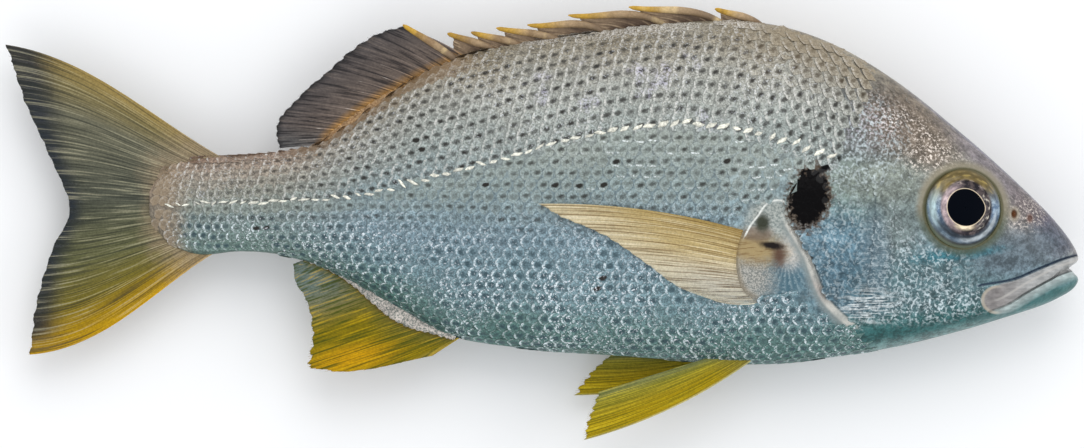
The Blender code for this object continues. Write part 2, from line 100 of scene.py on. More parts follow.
FLOOR_GAP = 0.00004
HEAD_STARTS_AT = 0.0560
TRUNK_RINGS = 130
TRUNK_RING_POINTS = 160
HEAD_RINGS = 310
HEAD_RING_POINTS = 300

# Where the packed solid's own frame lies: it was set down with its box centred on the origin.
LAID_AT = np.array((FISH_HIGH[0] - SNOUT_X, FISH_HIGH[1] - TOP_Y, LYING_HALF_WIDTH))

# Forms of the head, in the side view.
EYE_CENTRE = (0.1258, 0.0040)
EYE_STANDS_OUT = 0.0028
SOCKET_DEPTH = 0.0020
SOCKET_INSET = 0.0009
SOCKET_EDGE = 0.0010
ORBIT_RIM = 0.0005
ORBIT_RIM_WIDTH = 0.0010
NOSTRILS = ((0.1413, 0.0024, 0.0009), (0.1461, 0.0011, 0.0006))
NOSTRIL_DEPTH = 0.0012
NOSTRIL_TALLNESS = 1.4
MOUTH_LINE = (
    (0.1700, -0.0120), (0.1614, -0.0140), (0.1545, -0.0162), (0.1458, -0.0208), (0.1395, -0.0247),
    (0.1340, -0.0268),
)
JAW_LINE = (
    (0.1680, -0.0090), (0.1587, -0.0104), (0.1500, -0.0135), (0.1413, -0.0171), (0.1326, -0.0187),
    (0.1300, -0.0192),
)
MOUTH_ENDS_AT = 0.1308
MOUTH_DEPTH = 0.0007
MOUTH_WIDTH = 0.0003
UPPER_LIP_STEP = 0.0005
LOWER_LIP_STEP = 0.0004
LOWER_LIP_WIDTH = 0.0027
LIP_EDGE = 0.0007
SNOUT_NOTCH = 0.0030
NOTCH_STARTS_AT = 0.1520
NOTCH_LENGTH = 0.0080
NOTCH_WIDTH = 0.0016
GILL_EDGE = (
    (0.1010, 0.0240), (0.0891, 0.0195), (0.0800, 0.0155), (0.0738, 0.0090), (0.0732, 0.0030),
    (0.0759, -0.0024), (0.0800, -0.0095), (0.0843, -0.0204), (0.0885, -0.0258), (0.0960, -0.0322),
)
GILL_COVER_STEP = 0.0011
GILL_STEP_WIDTH = 0.0009
GILL_COVER_FADE = 0.0200
GILL_HOLLOW = 0.0007
GILL_HOLLOW_WIDTH = 0.0040
GILL_SLIT_DEPTH = 0.0007
GILL_SLIT_WIDTH = 0.0003
GILL_ROLL = 0.0009
GILL_ROLL_AT = 0.0019
GILL_ROLL_WIDTH = 0.0016
GILL_ROLL_TOP = 0.0030
GILL_ROLL_TOP_FADE = 0.0040
CHEEK_EDGE = ((0.0996, 0.0096), (0.0993, 0.0000), (0.0980, -0.0140), (0.0951, -0.0234), (0.0897, -0.0288))
CHEEK_STEP = 0.0005
CHEEK_FADE = 0.0060
RELIEF_MIDDLE = -0.0060
RELIEF_HALF_HEIGHT = 0.0215
RELIEF_FADE = 0.0060
RELIEF_STARTS_AT_DEPTH = 0.0040
FLAP_EDGE = (
    (0.0606, -0.0042), (0.0622, -0.0012), (0.0646, 0.0020), (0.0667, 0.0050), (0.0692, 0.0063),
    (0.0715, 0.0064), (0.0735, 0.0052),
)
BLOTCH_CENTRE = (0.0796, 0.0074)
BLOTCH_CLEARING = (0.0056, 0.0088)

# The fleshy root of the side fin: where it ends under the rays, and how far it stands out.
FIN_ARC = (
    (0.0606, -0.0020), (0.0588, -0.0069), (0.0582, -0.0120), (0.0591, -0.0174), (0.0612, -0.0210),
    (0.0655, -0.0238),
)
FIN_BASE_HEIGHT = 0.0015
FIN_BASE_FADE = 0.0090
FIN_BASE_EDGE = 0.0009
FIN_BASE_MIDDLE = -0.0128
FIN_BASE_HALF_HEIGHT = 0.0118
FIN_BASE_END_FADE = 0.0030

# Fins: the line that their rays stand on, and the line that the rays' ends reach.
TAIL_ROOTS = (
    (-0.0930, 0.0175), (-0.1085, 0.0140), (-0.1110, 0.0050), (-0.1085, -0.0040), (-0.0960, -0.0078),
)
TAIL_TIPS = (
    (-0.1614, 0.0534), (-0.1557, 0.0366), (-0.1488, 0.0216), (-0.1419, 0.0042), (-0.1473, -0.0084),
    (-0.1521, -0.0249), (-0.1542, -0.0399),
)
TAIL_BOWS = (0.0040, 0.0020, 0.0, -0.0014, -0.0046)
BACK_FIN_ROOTS = (
    (-0.0236, 0.0500), (-0.0306, 0.0464), (-0.0370, 0.0436), (-0.0439, 0.0401), (-0.0500, 0.0367),
    (-0.0560, 0.0326), (-0.0610, 0.0288), (-0.0645, 0.0262), (-0.0668, 0.0234),
)
BACK_FIN_TIPS = (
    (-0.0420, 0.0588), (-0.0501, 0.0563), (-0.0579, 0.0512), (-0.0638, 0.0457), (-0.0705, 0.0400),
    (-0.0755, 0.0350), (-0.0789, 0.0307), (-0.0797, 0.0260), (-0.0786, 0.0222),
)
BACK_FIN_BOWS = (0.0006, 0.0)
BACK_SHEATH_INSET = (0.0030, -0.0045)
BACK_SHEATH_OVERLAP = (0.0002, 0.0003)
SPINE_ROOTS = (
    (0.0672, 0.0580), (0.0552, 0.0592), (0.0387, 0.0580), (0.0207, 0.0556), (0.0087, 0.0532),
    (-0.0033, 0.0517), (-0.0123, 0.0510), (-0.0240, 0.0475),
)
SPINE_TIPS = (
    (0.0522, 0.0640), (0.0264, 0.0645), (0.0084, 0.0620), (-0.0039, 0.0591), (-0.0134, 0.0582),
    (-0.0210, 0.0569), (-0.0282, 0.0566), (-0.0415, 0.0592),
)
SPINE_BOWS = (0.0012, 0.0022, 0.0030, 0.0027, 0.0012, 0.0008, 0.0005, 0.0006)
SPINE_SINK = (0.0, 0.0004)
SPINE_THICKNESS = 0.0012
WEB_THICKNESS = 0.0004
WEB_ENDS_AT = 0.90
WEB_SINK = (0.0, 0.002)
VENT_FIN_ROOTS = (
    (-0.0258, -0.0354), (-0.0282, -0.0348), (-0.0348, -0.0330), (-0.0408, -0.0312), (-0.0468, -0.0276),
    (-0.0522, -0.0228), (-0.0579, -0.0180), (-0.0648, -0.0140), (-0.0708, -0.0116),
)
VENT_FIN_TIPS = (
    (-0.0327, -0.0402), (-0.0550, -0.0448), (-0.0690, -0.0441), (-0.0699, -0.0408), (-0.0690, -0.0354),
    (-0.0693, -0.0288), (-0.0711, -0.0228), (-0.0738, -0.0183), (-0.0744, -0.0126),
)
VENT_FIN_BOWS = (0.0, 0.0)
VENT_SHEATH_INSET = (0.0020, 0.0060)
VENT_SHEATH_OVERLAP = (-0.0002, -0.0003)
SHEATH_THICKNESS = 0.0015
PECTORAL_ROOTS = ((0.0735, -0.0070), (0.0700, -0.0120), (0.0672, -0.0180), (0.0665, -0.0236))
PECTORAL_TIPS = (
    (-0.0012, 0.0054), (0.0057, 0.0015), (0.0183, -0.0039), (0.0306, -0.0120), (0.0405, -0.0192),
    (0.0520, -0.0236),
)
PECTORAL_BOWS = (0.0035, 0.0010, -0.0010)
PECTORAL_SINK = 0.0014
PECTORAL_LIFT = 0.0036
PECTORAL_DENT = 0.0011
PECTORAL_UNDER_GAP = 0.0007
DENT_MARGIN = 0.0010
DENT_EDGE = 0.0080
PELVIC_ROOTS = ((0.0640, -0.0405), (0.0570, -0.0388))
PELVIC_TIPS_NEAR = ((0.0123, -0.0654), (0.0129, -0.0609), (0.0153, -0.0549), (0.0168, -0.0510))
PELVIC_TIPS_FAR = ((0.0093, -0.0522), (0.0117, -0.0489), (0.0153, -0.0444), (0.0205, -0.0400))
PELVIC_BOWS = (-0.0028, 0.0)
PELVIC_SIDE = 0.0040
PELVIC_SPLAY_NEAR = 0.0020
PELVIC_SPLAY_FAR = -0.0060
ROOT_OVERLAP = 0.05
RAY_RIDGE = 0.0001
RAY_THICKNESS = 0.00036

# Scales. The lateral line parts the rows that follow the back from the level rows of the flank.
LATERAL_LINE = (
    (0.0900, 0.0186), (0.0843, 0.0201), (0.0747, 0.0234), (0.0627, 0.0270), (0.0477, 0.0293),
    (0.0357, 0.0293), (0.0177, 0.0267), (-0.0003, 0.0225), (-0.0183, 0.0174), (-0.0363, 0.0127),
    (-0.0543, 0.0083), (-0.0723, 0.0065), (-0.0903, 0.0060), (-0.1068, 0.0056), (-0.1150, 0.0054),
)
SCALES_END_AT = (
    (0.1030, 0.0520), (0.1000, 0.0400), (0.0940, 0.0290), (0.0891, 0.0195), (0.0800, 0.0155),
    (0.0738, 0.0090), (0.0732, 0.0030), (0.0759, -0.0024), (0.0800, -0.0095), (0.0843, -0.0204),
    (0.0885, -0.0258), (0.0960, -0.0322), (0.1020, -0.0420),
)
LEVEL_ROWS_FROM_Y = 0.0040
BARE_AXIL = (
    (0.0594, -0.0030), (0.0633, 0.0034), (0.0675, 0.0070), (0.0738, 0.0070), (0.0757, 0.0000),
    (0.0792, -0.0063), (0.0825, -0.0159), (0.0860, -0.0219), (0.0905, -0.0262), (0.0945, -0.0304),
    (0.0890, -0.0306), (0.0840, -0.0272), (0.0800, -0.0244), (0.0765, -0.0214), (0.0702, -0.0212),
    (0.0648, -0.0240), (0.0595, -0.0192), (0.0572, -0.0120), (0.0576, -0.0062),
)
BIG_SPOTS = (
    (-0.0828, -0.0018), (-0.0138, 0.0108), (-0.0348, 0.0222), (0.0096, -0.0120), (0.0192, -0.0183),
    (0.0132, 0.0118), (0.0203, 0.0103), (0.0063, 0.0105), (0.0240, 0.0190), (0.0555, 0.0170),
)
BIG_SPOT_REACH = 0.0019
BIG_SPOT_STRENGTH = 1.6
SEED = 7

# What changes along the body, as places on x and the value at each.
PITCHES = ((-0.115, -0.080, -0.030, 0.030, 0.090), (0.0026, 0.0031, 0.0034, 0.0037, 0.0035))
UPPER_SPACINGS = ((-0.110, -0.080, -0.030, 0.020), (0.0026, 0.0030, 0.0038, 0.0042))
LOWER_SPACINGS = ((-0.110, -0.080, -0.030, 0.020), (0.0027, 0.0030, 0.0033, 0.0035))
BARE_RIDGES = ((0.030, 0.050), (0.0006, 0.0024))
UPPER_SPOTS = ((-0.115, -0.090, -0.050), (0.45, 0.6, 1.0))
LOWER_SPOTS = ((-0.115, -0.080, 0.0), (0.8, 0.8, 1.0))
PORE_WIDTHS = ((-0.11, -0.02, 0.03, 0.09), (0.00045, 0.0008, 0.0011, 0.0011))

# Rows of scales: where they start and end on x, how many there are, and how far each is shifted.
SCALE_SPAN = (-0.1150, 0.1010)
UPPER_ROWS = range(14)
LOWER_ROWS = range(-22, 12)
UPPER_SHIFT = 0.28
LOWER_SHIFT = 0.5
ROW_CLEARANCE = 0.6
UNDER_GILL_COVER = 0.0006
BARE_BELLY = 0.0012

# How flat scales lie near the ridge, by their distance from it, and where their spots fade out.
LYING_NEAR_RIDGE = ((0.0004, 0.0060), (0.1, 1.0))
SPOTS_NEAR_RIDGE = ((0.94, 0.985), (1.0, 0.0))
LOWER_SPOTS_FROM_Y = -0.0080
LOWER_SPOTS_FADE = 0.0120

# How unevenly scales and pores sit, up the flank and along it.
SCALE_JITTER_UP = 0.00018
SCALE_JITTER_ALONG = 0.00015
PORE_JITTER_UP = 0.00025
PORE_JITTER_ALONG = 0.0002
PORE_BEHIND = 0.0004
PORE_SPAN = (-0.1120, 0.0885)
PORE_LIFT = 0.00012

# One scale of unit size, and the tables of the flanks that scales are laid on.
SCALE_HALF_WIDTH = 0.62
SCALE_HIDDEN = 0.45
FLANK_ENDS_SHORT = 0.0040
TURN_STEP = 0.0006

# Fine scales of the head, and how far they keep from the body's edges, the cover, its fold and the eye.
SMALL_SCALE_LYING = 0.55
SMALL_FROM_BACK = 0.0030
SMALL_FROM_BELLY = 0.0020
SMALL_FROM_COVER = 0.0012
SMALL_FROM_FOLD = 0.0010
SMALL_FROM_EYE = 0.0028
SMALL_ZONES = (
    # Lowest and highest corner in millimetres, pitch, spacing, and how pale the scales are.
    ((86.0, 14.0), (112.0, 50.0), 2.1, 1.7, 1.06),
    ((74.0, -31.0), (99.0, 17.0), 2.6, 2.2, 0.98),
    ((97.0, -29.0), (125.0, -9.0), 2.1, 1.9, 1.00),
    ((99.0, -10.0), (111.5, 14.0), 2.2, 1.9, 1.00),
)


def smooth_step(t):
    t = np.clip(t, 0.0, 1.0)
    return t * t * (3.0 - 2.0 * t)


def spline(rows, count):
    """count rows evenly spread by row number along a smooth curve through the given rows."""
    rows = np.array(rows, float)
    padded = np.vstack([2 * rows[0] - rows[1], rows, 2 * rows[-1] - rows[-2]])
    at = np.linspace(0.0, len(rows) - 1.0, count)
    piece = np.minimum(at.astype(int), len(rows) - 2)
    s = (at - piece)[:, None]
    before, first, second, after = (padded[piece + k] for k in range(4))
    return 0.5 * (
        2 * first
        + (second - before) * s
        + (2 * before - 5 * first + 4 * second - after) * s**2
        + (3 * first - before - 3 * second + after) * s**3
    )


def even_curve(points, count):
    """count points at equal distances along the smooth curve through the given points."""
    fine = spline(points, 40 * len(points)) if len(points) > 2 else np.array(points, float)
    run = np.concatenate([[0.0], np.cumsum(np.linalg.norm(np.diff(fine, axis=0), axis=1))])
    at = np.linspace(0.0, run[-1], count)
    return np.stack([np.interp(at, run, fine[:, k]) for k in range(fine.shape[1])], 1)


def distance_to(path, x, y):
    """Distance of the points (x, y) from a path; positive on the left of its direction, else negative."""
    path = np.array(path, float)
    best = np.full(np.shape(x), np.inf)
    side = np.ones(np.shape(x))
    for a, b in zip(path[:-1], path[1:]):
        along = b - a
        t = np.clip(((x - a[0]) * along[0] + (y - a[1]) * along[1]) / (along @ along), 0.0, 1.0)
        off_x = x - a[0] - t * along[0]
        off_y = y - a[1] - t * along[1]
        away = np.hypot(off_x, off_y)
        nearer = away < best
        best = np.where(nearer, away, best)
        side = np.where(nearer, np.where(along[0] * off_y - along[1] * off_x > 0, 1.0, -1.0), side)
    return best * side


def inside_outline(outline, x, y):
    """How far inside a closed outline the points are; negative outside."""
    away = np.abs(distance_to(outline, x, y))
    winding = np.zeros(np.shape(x))
    for a, b in zip(outline[:-1], outline[1:]):
        first = np.arctan2(a[1] - y, a[0] - x)
        second = np.arctan2(b[1] - y, b[0] - x)
        winding = winding + (second - first + np.pi) % (2 * np.pi) - np.pi
    return np.where(np.abs(winding) > np.pi, away, -away)


SECTION_CURVE = spline(BODY_SECTIONS, 24 * len(BODY_SECTIONS))
GILL_CURVE = even_curve(GILL_EDGE, 40)
CHEEK_CURVE = even_curve(CHEEK_EDGE, 30)
MOUTH_CURVE = even_curve(MOUTH_LINE, 30)
JAW_CURVE = even_curve(JAW_LINE, 30)
FIN_ARC_CURVE = even_curve(FIN_ARC, 30)
FLAP_CURVE = even_curve(FLAP_EDGE, 30)
LATERAL_CURVE = even_curve(LATERAL_LINE, 120)[::-1]
PECTORAL_OUTLINE = np.vstack(
    [even_curve(PECTORAL_TIPS, 24), even_curve(PECTORAL_ROOTS, 8)[::-1], np.array(PECTORAL_TIPS[:1])]
)
BARE_OUTLINE = np.array(BARE_AXIL + BARE_AXIL[:1])


def section_at(x):
    """Back height, belly height and half width of the body at x."""
    return tuple(np.interp(x, SECTION_CURVE[:, 0], SECTION_CURVE[:, k]) for k in (1, 2, 3))


def rise_at(points):
    """How high points lie between the belly's edge, 0, and the back's, 1."""
    back, belly, _ = section_at(points[:, 0])
    return (points[:, 1] - belly) / (back - belly)


def half_thickness(x, y):
    """How far the round body reaches from its mid plane at (x, y), before the flank is pressed."""
    back, belly, half = section_at(x)
    middle = belly + WIDEST_SHARE * (back - belly)
    up = y > middle
    share = np.clip(np.abs(y - middle) / np.where(up, back - middle, middle - belly), 0.0, 1.0)
    power = np.where(up, BACK_POWER, BELLY_POWER)
    return half * (1.0 - share**FLANK_POWER) ** (1.0 / power)


def pressed(depth):
    """The depth of the left flank once the fish lies on it: flat at LYING_HALF_WIDTH, with a soft edge."""
    start = LYING_HALF_WIDTH - PRESS_BLEND
    over = np.clip(depth - start, 0.0, 2 * PRESS_BLEND)
    return np.where(depth <= start, depth, start + over - over**2 / (4 * PRESS_BLEND))


def left_depth(x, y, depth):
    """Depth of the left flank as it lies: pressed flat, and dented round the fin that is caught under it."""
    inside = inside_outline(PECTORAL_OUTLINE, x, y) + DENT_MARGIN
    dent = PECTORAL_DENT * smooth_step(1.0 + inside / DENT_EDGE)
    return np.minimum(pressed(depth), LYING_HALF_WIDTH - dent)


def ridge_of(distance, width):
    """1 on a line, falling off softly on both sides."""
    return np.exp(-((distance / width) ** 2))


def gill_shape(x, y):
    """The gill cover ends in a step over the flank; behind it lie a slit and its membrane's soft roll."""
    gill = distance_to(GILL_CURVE, x, y)
    ahead = np.clip(gill, 0.0, None)
    behind = np.clip(-gill, 0.0, None)
    step = smooth_step(gill / GILL_STEP_WIDTH + 0.5)
    cover = GILL_COVER_STEP * step * np.exp(-ahead / GILL_COVER_FADE)
    hollow = GILL_HOLLOW * (1.0 - step) * ridge_of(behind, GILL_HOLLOW_WIDTH)
    slit = GILL_SLIT_DEPTH * ridge_of(gill, GILL_SLIT_WIDTH)
    below_flap = smooth_step((GILL_ROLL_TOP - y) / GILL_ROLL_TOP_FADE)
    roll = GILL_ROLL * below_flap * ridge_of(behind - GILL_ROLL_AT, GILL_ROLL_WIDTH) * (gill < 0)
    cheek = distance_to(CHEEK_CURVE, x, y)
    ridge = CHEEK_STEP * smooth_step(cheek / GILL_STEP_WIDTH + 0.5) * np.exp(-np.abs(cheek) / CHEEK_FADE)
    within = np.clip((RELIEF_HALF_HEIGHT - np.abs(y - RELIEF_MIDDLE)) / RELIEF_FADE, 0.0, 1.0)
    return (cover - hollow - slit + roll + ridge) * within


def fin_base_shape(x, y):
    """The fleshy root of the side fin stands out of the flank, with a sharp edge where the rays come out."""
    arc = distance_to(FIN_ARC_CURVE, x, y)
    within = smooth_step((FIN_BASE_HALF_HEIGHT - np.abs(y - FIN_BASE_MIDDLE)) / FIN_BASE_END_FADE)
    edge = smooth_step(arc / FIN_BASE_EDGE + 0.5)
    return FIN_BASE_HEIGHT * edge * ridge_of(np.clip(arc, 0.0, None), FIN_BASE_FADE) * within


def mouth_shape(x, y):
    """The lips stand out on both sides of the mouth's gap, up to the end of the upper jaw."""
    below_mouth = distance_to(MOUTH_CURVE, x, y)
    below_jaw = distance_to(JAW_CURVE, x, y)
    upper = smooth_step(below_jaw / LIP_EDGE) * smooth_step(-below_mouth / LIP_EDGE)
    lower = smooth_step(below_mouth / LIP_EDGE) * smooth_step((LOWER_LIP_WIDTH - below_mouth) / LIP_EDGE)
    gaps = MOUTH_DEPTH * (ridge_of(below_mouth, MOUTH_WIDTH) + ridge_of(below_jaw, MOUTH_WIDTH))
    front = smooth_step((x - MOUTH_ENDS_AT) / LIP_EDGE)
    return (UPPER_LIP_STEP * upper - gaps + LOWER_LIP_STEP * lower) * front


def eye_shape(x, y, eye_radius):
    """A rim round each eye and the socket inside it, and the nostrils."""
    away = np.hypot(x - EYE_CENTRE[0], y - EYE_CENTRE[1])
    rim = ORBIT_RIM * ridge_of(away - eye_radius - ORBIT_RIM_WIDTH, 2 * ORBIT_RIM_WIDTH)
    socket = SOCKET_DEPTH * smooth_step((eye_radius - SOCKET_INSET - away) / SOCKET_EDGE + 0.5)
    made = rim - socket
    for nostril_x, nostril_y, radius in NOSTRILS:
        share = np.hypot(x - nostril_x, (y - nostril_y) / NOSTRIL_TALLNESS) / radius
        made = made - NOSTRIL_DEPTH * np.exp(-(share**4))
    return made


def skin_depth(x, y, depth, eye_radius):
    """The plain body's depth with all forms of the head, faded out where the skin turns over its edges."""
    forms = gill_shape(x, y) + mouth_shape(x, y) + eye_shape(x, y, eye_radius) + fin_base_shape(x, y)
    return depth + forms * np.clip(depth / RELIEF_STARTS_AT_DEPTH, 0.0, 1.0)


def laid_skin(points, eye_radius):
    """Adds the head's forms to points of the plain body and presses the left flank flat."""
    x, y, z = points[..., 0], points[..., 1], points[..., 2]
    depth = skin_depth(x, y, np.abs(z), eye_radius)
    depth = np.where(z < 0, left_depth(x, y, depth), depth)
    mouth = distance_to(MOUTH_CURVE, x, y)
    notch = SNOUT_NOTCH * smooth_step((x - NOTCH_STARTS_AT) / NOTCH_LENGTH) * ridge_of(mouth, NOTCH_WIDTH)
    return np.stack([x - notch, y, np.sign(z) * depth], -1)


def quarter_arc(x, quarter, count, closed=False):
    """Points at even distances along one quarter of the plain body's section at x."""
    back, belly, half = section_at(x)
    middle = belly + WIDEST_SHARE * (back - belly)
    angle = (quarter + np.linspace(0.0, 1.0, 181)) * np.pi / 2
    rise, out = np.sin(angle), np.cos(angle)
    upper = quarter in (0, 1)
    reach = back - middle if upper else middle - belly
    power = BACK_POWER if upper else BELLY_POWER
    y = middle + reach * np.sign(rise) * np.abs(rise) ** (2 / FLANK_POWER)
    z = half * np.sign(out) * np.abs(out) ** (2 / power)
    run = np.concatenate([[0.0], np.cumsum(np.hypot(np.diff(y), np.diff(z)))])
    at = np.linspace(0.0, run[-1], count, endpoint=closed)
    return np.stack([np.full(count, x), np.interp(at, run, y), np.interp(at, run, z)], 1)


def body_rings(positions, ring_points):
    """Rings of the plain body, from the right flank over the back and round."""
    return np.array([np.vstack([quarter_arc(x, q, ring_points // 4) for q in range(4)]) for x in positions])


def settle(points):
    """From the fish's own frame to where it lies: the tail sags, and nothing goes below the floor."""
    x, y, z = points.T
    reach = np.clip(SAG_STARTS_AT - x, 0.0, None) / (SAG_STARTS_AT + TOTAL_LENGTH / 2)
    laid = np.stack([x, y, z - TAIL_SAG * reach**2], 1) + LAID_AT
    laid[:, 2] = np.maximum(laid[:, 2], FLOOR_GAP)
    return laid


def mesh_points(mesh):
    points = np.empty(len(mesh.vertices) * 3, np.float32)
    mesh.vertices.foreach_get("co", points)
    return points.reshape(-1, 3).astype(float)


def new_mesh(name, points, faces=(), edges=()):
    mesh = bpy.data.meshes.new(name)
    mesh.from_pydata(np.asarray(points, float).reshape(-1, 3).tolist(), edges, faces)
    mesh.update()
    return mesh


def add_attribute(mesh, name, values):
    """Stores one number or one vector for each vertex."""
    values = np.asarray(values, np.float32)
    single = values.ndim == 1
    layer = mesh.attributes.new(name, "FLOAT" if single else "FLOAT_VECTOR", "POINT")
    layer.data.foreach_set("value" if single else "vector", values.ravel())


def grid_faces(rows, columns, start=0, wrap=False, flip=False):
    """Quads between the points of a grid, whose columns may close into a ring."""
    across = columns if wrap else columns - 1
    faces = []
    for i in range(rows - 1):
        for j in range(across):
            after = (j + 1) % columns
            a, b = start + i * columns + j, start + i * columns + after
            c, d = start + (i + 1) * columns + after, start + (i + 1) * columns + j
            faces.append((a, d, c, b) if flip else (a, b, c, d))
    return faces


def volume_of(mesh):
    """Volume inside a closed mesh; negative when its faces point inward."""
    points = mesh_points(mesh)
    mesh.calc_loop_triangles()
    corners = np.empty(len(mesh.loop_triangles) * 3, np.int32)
    mesh.loop_triangles.foreach_get("vertices", corners)
    a, b, c = (points[corners.reshape(-1, 3)[:, k]] for k in range(3))
    return float(np.einsum("ij,ij->i", a, np.cross(b, c)).sum() / 6)


def face_outward(mesh):
    if volume_of(mesh) < 0:
        mesh.flip_normals()
    return mesh


def closed_loft(name, rings):
    """A closed skin through rings of points."""
    rows, columns = rings.shape[:2]
    faces = grid_faces(rows, columns, wrap=True)
    faces.append(tuple(range(columns)))
    faces.append(tuple(range((rows - 1) * columns, rows * columns)))
    return face_outward(new_mesh(name, rings, faces))


def closed_sheet(name, upper, lower):
    """A closed sheet between two grids of points of the same size."""
    rows, columns = upper.shape[:2]
    size = rows * columns
    faces = grid_faces(rows, columns) + grid_faces(rows, columns, start=size, flip=True)
    rim = list(range(columns))
    rim += [i * columns + columns - 1 for i in range(1, rows)]
    rim += [(rows - 1) * columns + j for j in range(columns - 2, -1, -1)]
    rim += [i * columns for i in range(rows - 2, 0, -1)]
    for a, b in zip(rim, rim[1:] + rim[:1]):
        faces.append((b, a, a + size, b + size))
    return face_outward(new_mesh(name, np.concatenate([upper.reshape(-1, 3), lower.reshape(-1, 3)]), faces))


def add_piece(name, mesh, finish):
    """Lays a finished mesh down as a piece of the fish, which stands for the packed solid."""
    mesh.vertices.foreach_set("co", settle(mesh_points(mesh)).astype(np.float32).ravel())
    mesh.materials.clear()
    mesh.materials.append(finish)
    mesh.shade_smooth()
    mesh.update()
    piece = bpy.data.objects.new(name, mesh)
    bpy.context.scene.collection.objects.link(piece)
    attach(piece, "root")
    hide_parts("fish")
    return piece


class Value:
    """One output of a node. Sums on it add Math nodes."""

    def __init__(self, nodes, socket):
        self.nodes = nodes
        self.socket = socket

    def math(self, operation, *others):
        return self.nodes.add("ShaderNodeMath", {"operation": operation}, dict(enumerate((self, *others))))

    def output(self, key):
        return Value(self.nodes, self.socket.node.outputs[key])

    def __add__(self, other):
        return self.math("ADD", other)

    def __sub__(self, other):
        return self.math("SUBTRACT", other)

    def __rsub__(self, other):
        return self.nodes.add("ShaderNodeMath", {"operation": "SUBTRACT"}, {0: other, 1: self})

    def __mul__(self, other):
        return self.math("MULTIPLY", other)

    def __truediv__(self, other):
        return self.math("DIVIDE", other)

    def __pow__(self, other):
        return self.math("POWER", other)

    def __abs__(self):
        return self.math("ABSOLUTE")

    def most(self, other):
        return self.math("MAXIMUM", other)

    def least(self, other):
        return self.math("MINIMUM", other)

    __radd__ = __add__
    __rmul__ = __mul__


class Nodes:
    """Adds nodes to one tree."""

    def __init__(self, tree):
        self.tree = tree

    def add(self, kind, settings=None, values=None, output=0):
        """A node with its settings made first, then the values or links of its sockets."""
        node = self.tree.nodes.new(kind)
        for name, setting in (settings or {}).items():
            if name == "stops":
                elements = node.color_ramp.elements
                while len(elements) < len(setting):
                    elements.new(1.0)
                for element, (position, colour) in zip(elements, setting):
                    element.position = position
                    element.color = colour
            else:
                setattr(node, name, setting)
        for key, value in (values or {}).items():
            if isinstance(value, Value):
                self.tree.links.new(value.socket, node.inputs[key])
            else:
                node.inputs[key].default_value = value
        return Value(self, node.outputs[output]) if node.outputs else None


def tone(red, green, blue):
    """A colour as the eye reads it on a screen, 0 to 255, turned into light."""
    shares = np.array((red, green, blue)) / 255
    light = np.where(shares <= 0.04045, shares / 12.92, ((shares + 0.055) / 1.055) ** 2.4)
    return (*(float(part) for part in light), 1.0)


def oval(x, half_x, y, half_y):
    """Distance from an oval's middle as a share of the oval's own reach, 1 on its rim."""
    x, y = x / half_x, y / half_y
    return (x * x + y * y) ** 0.5


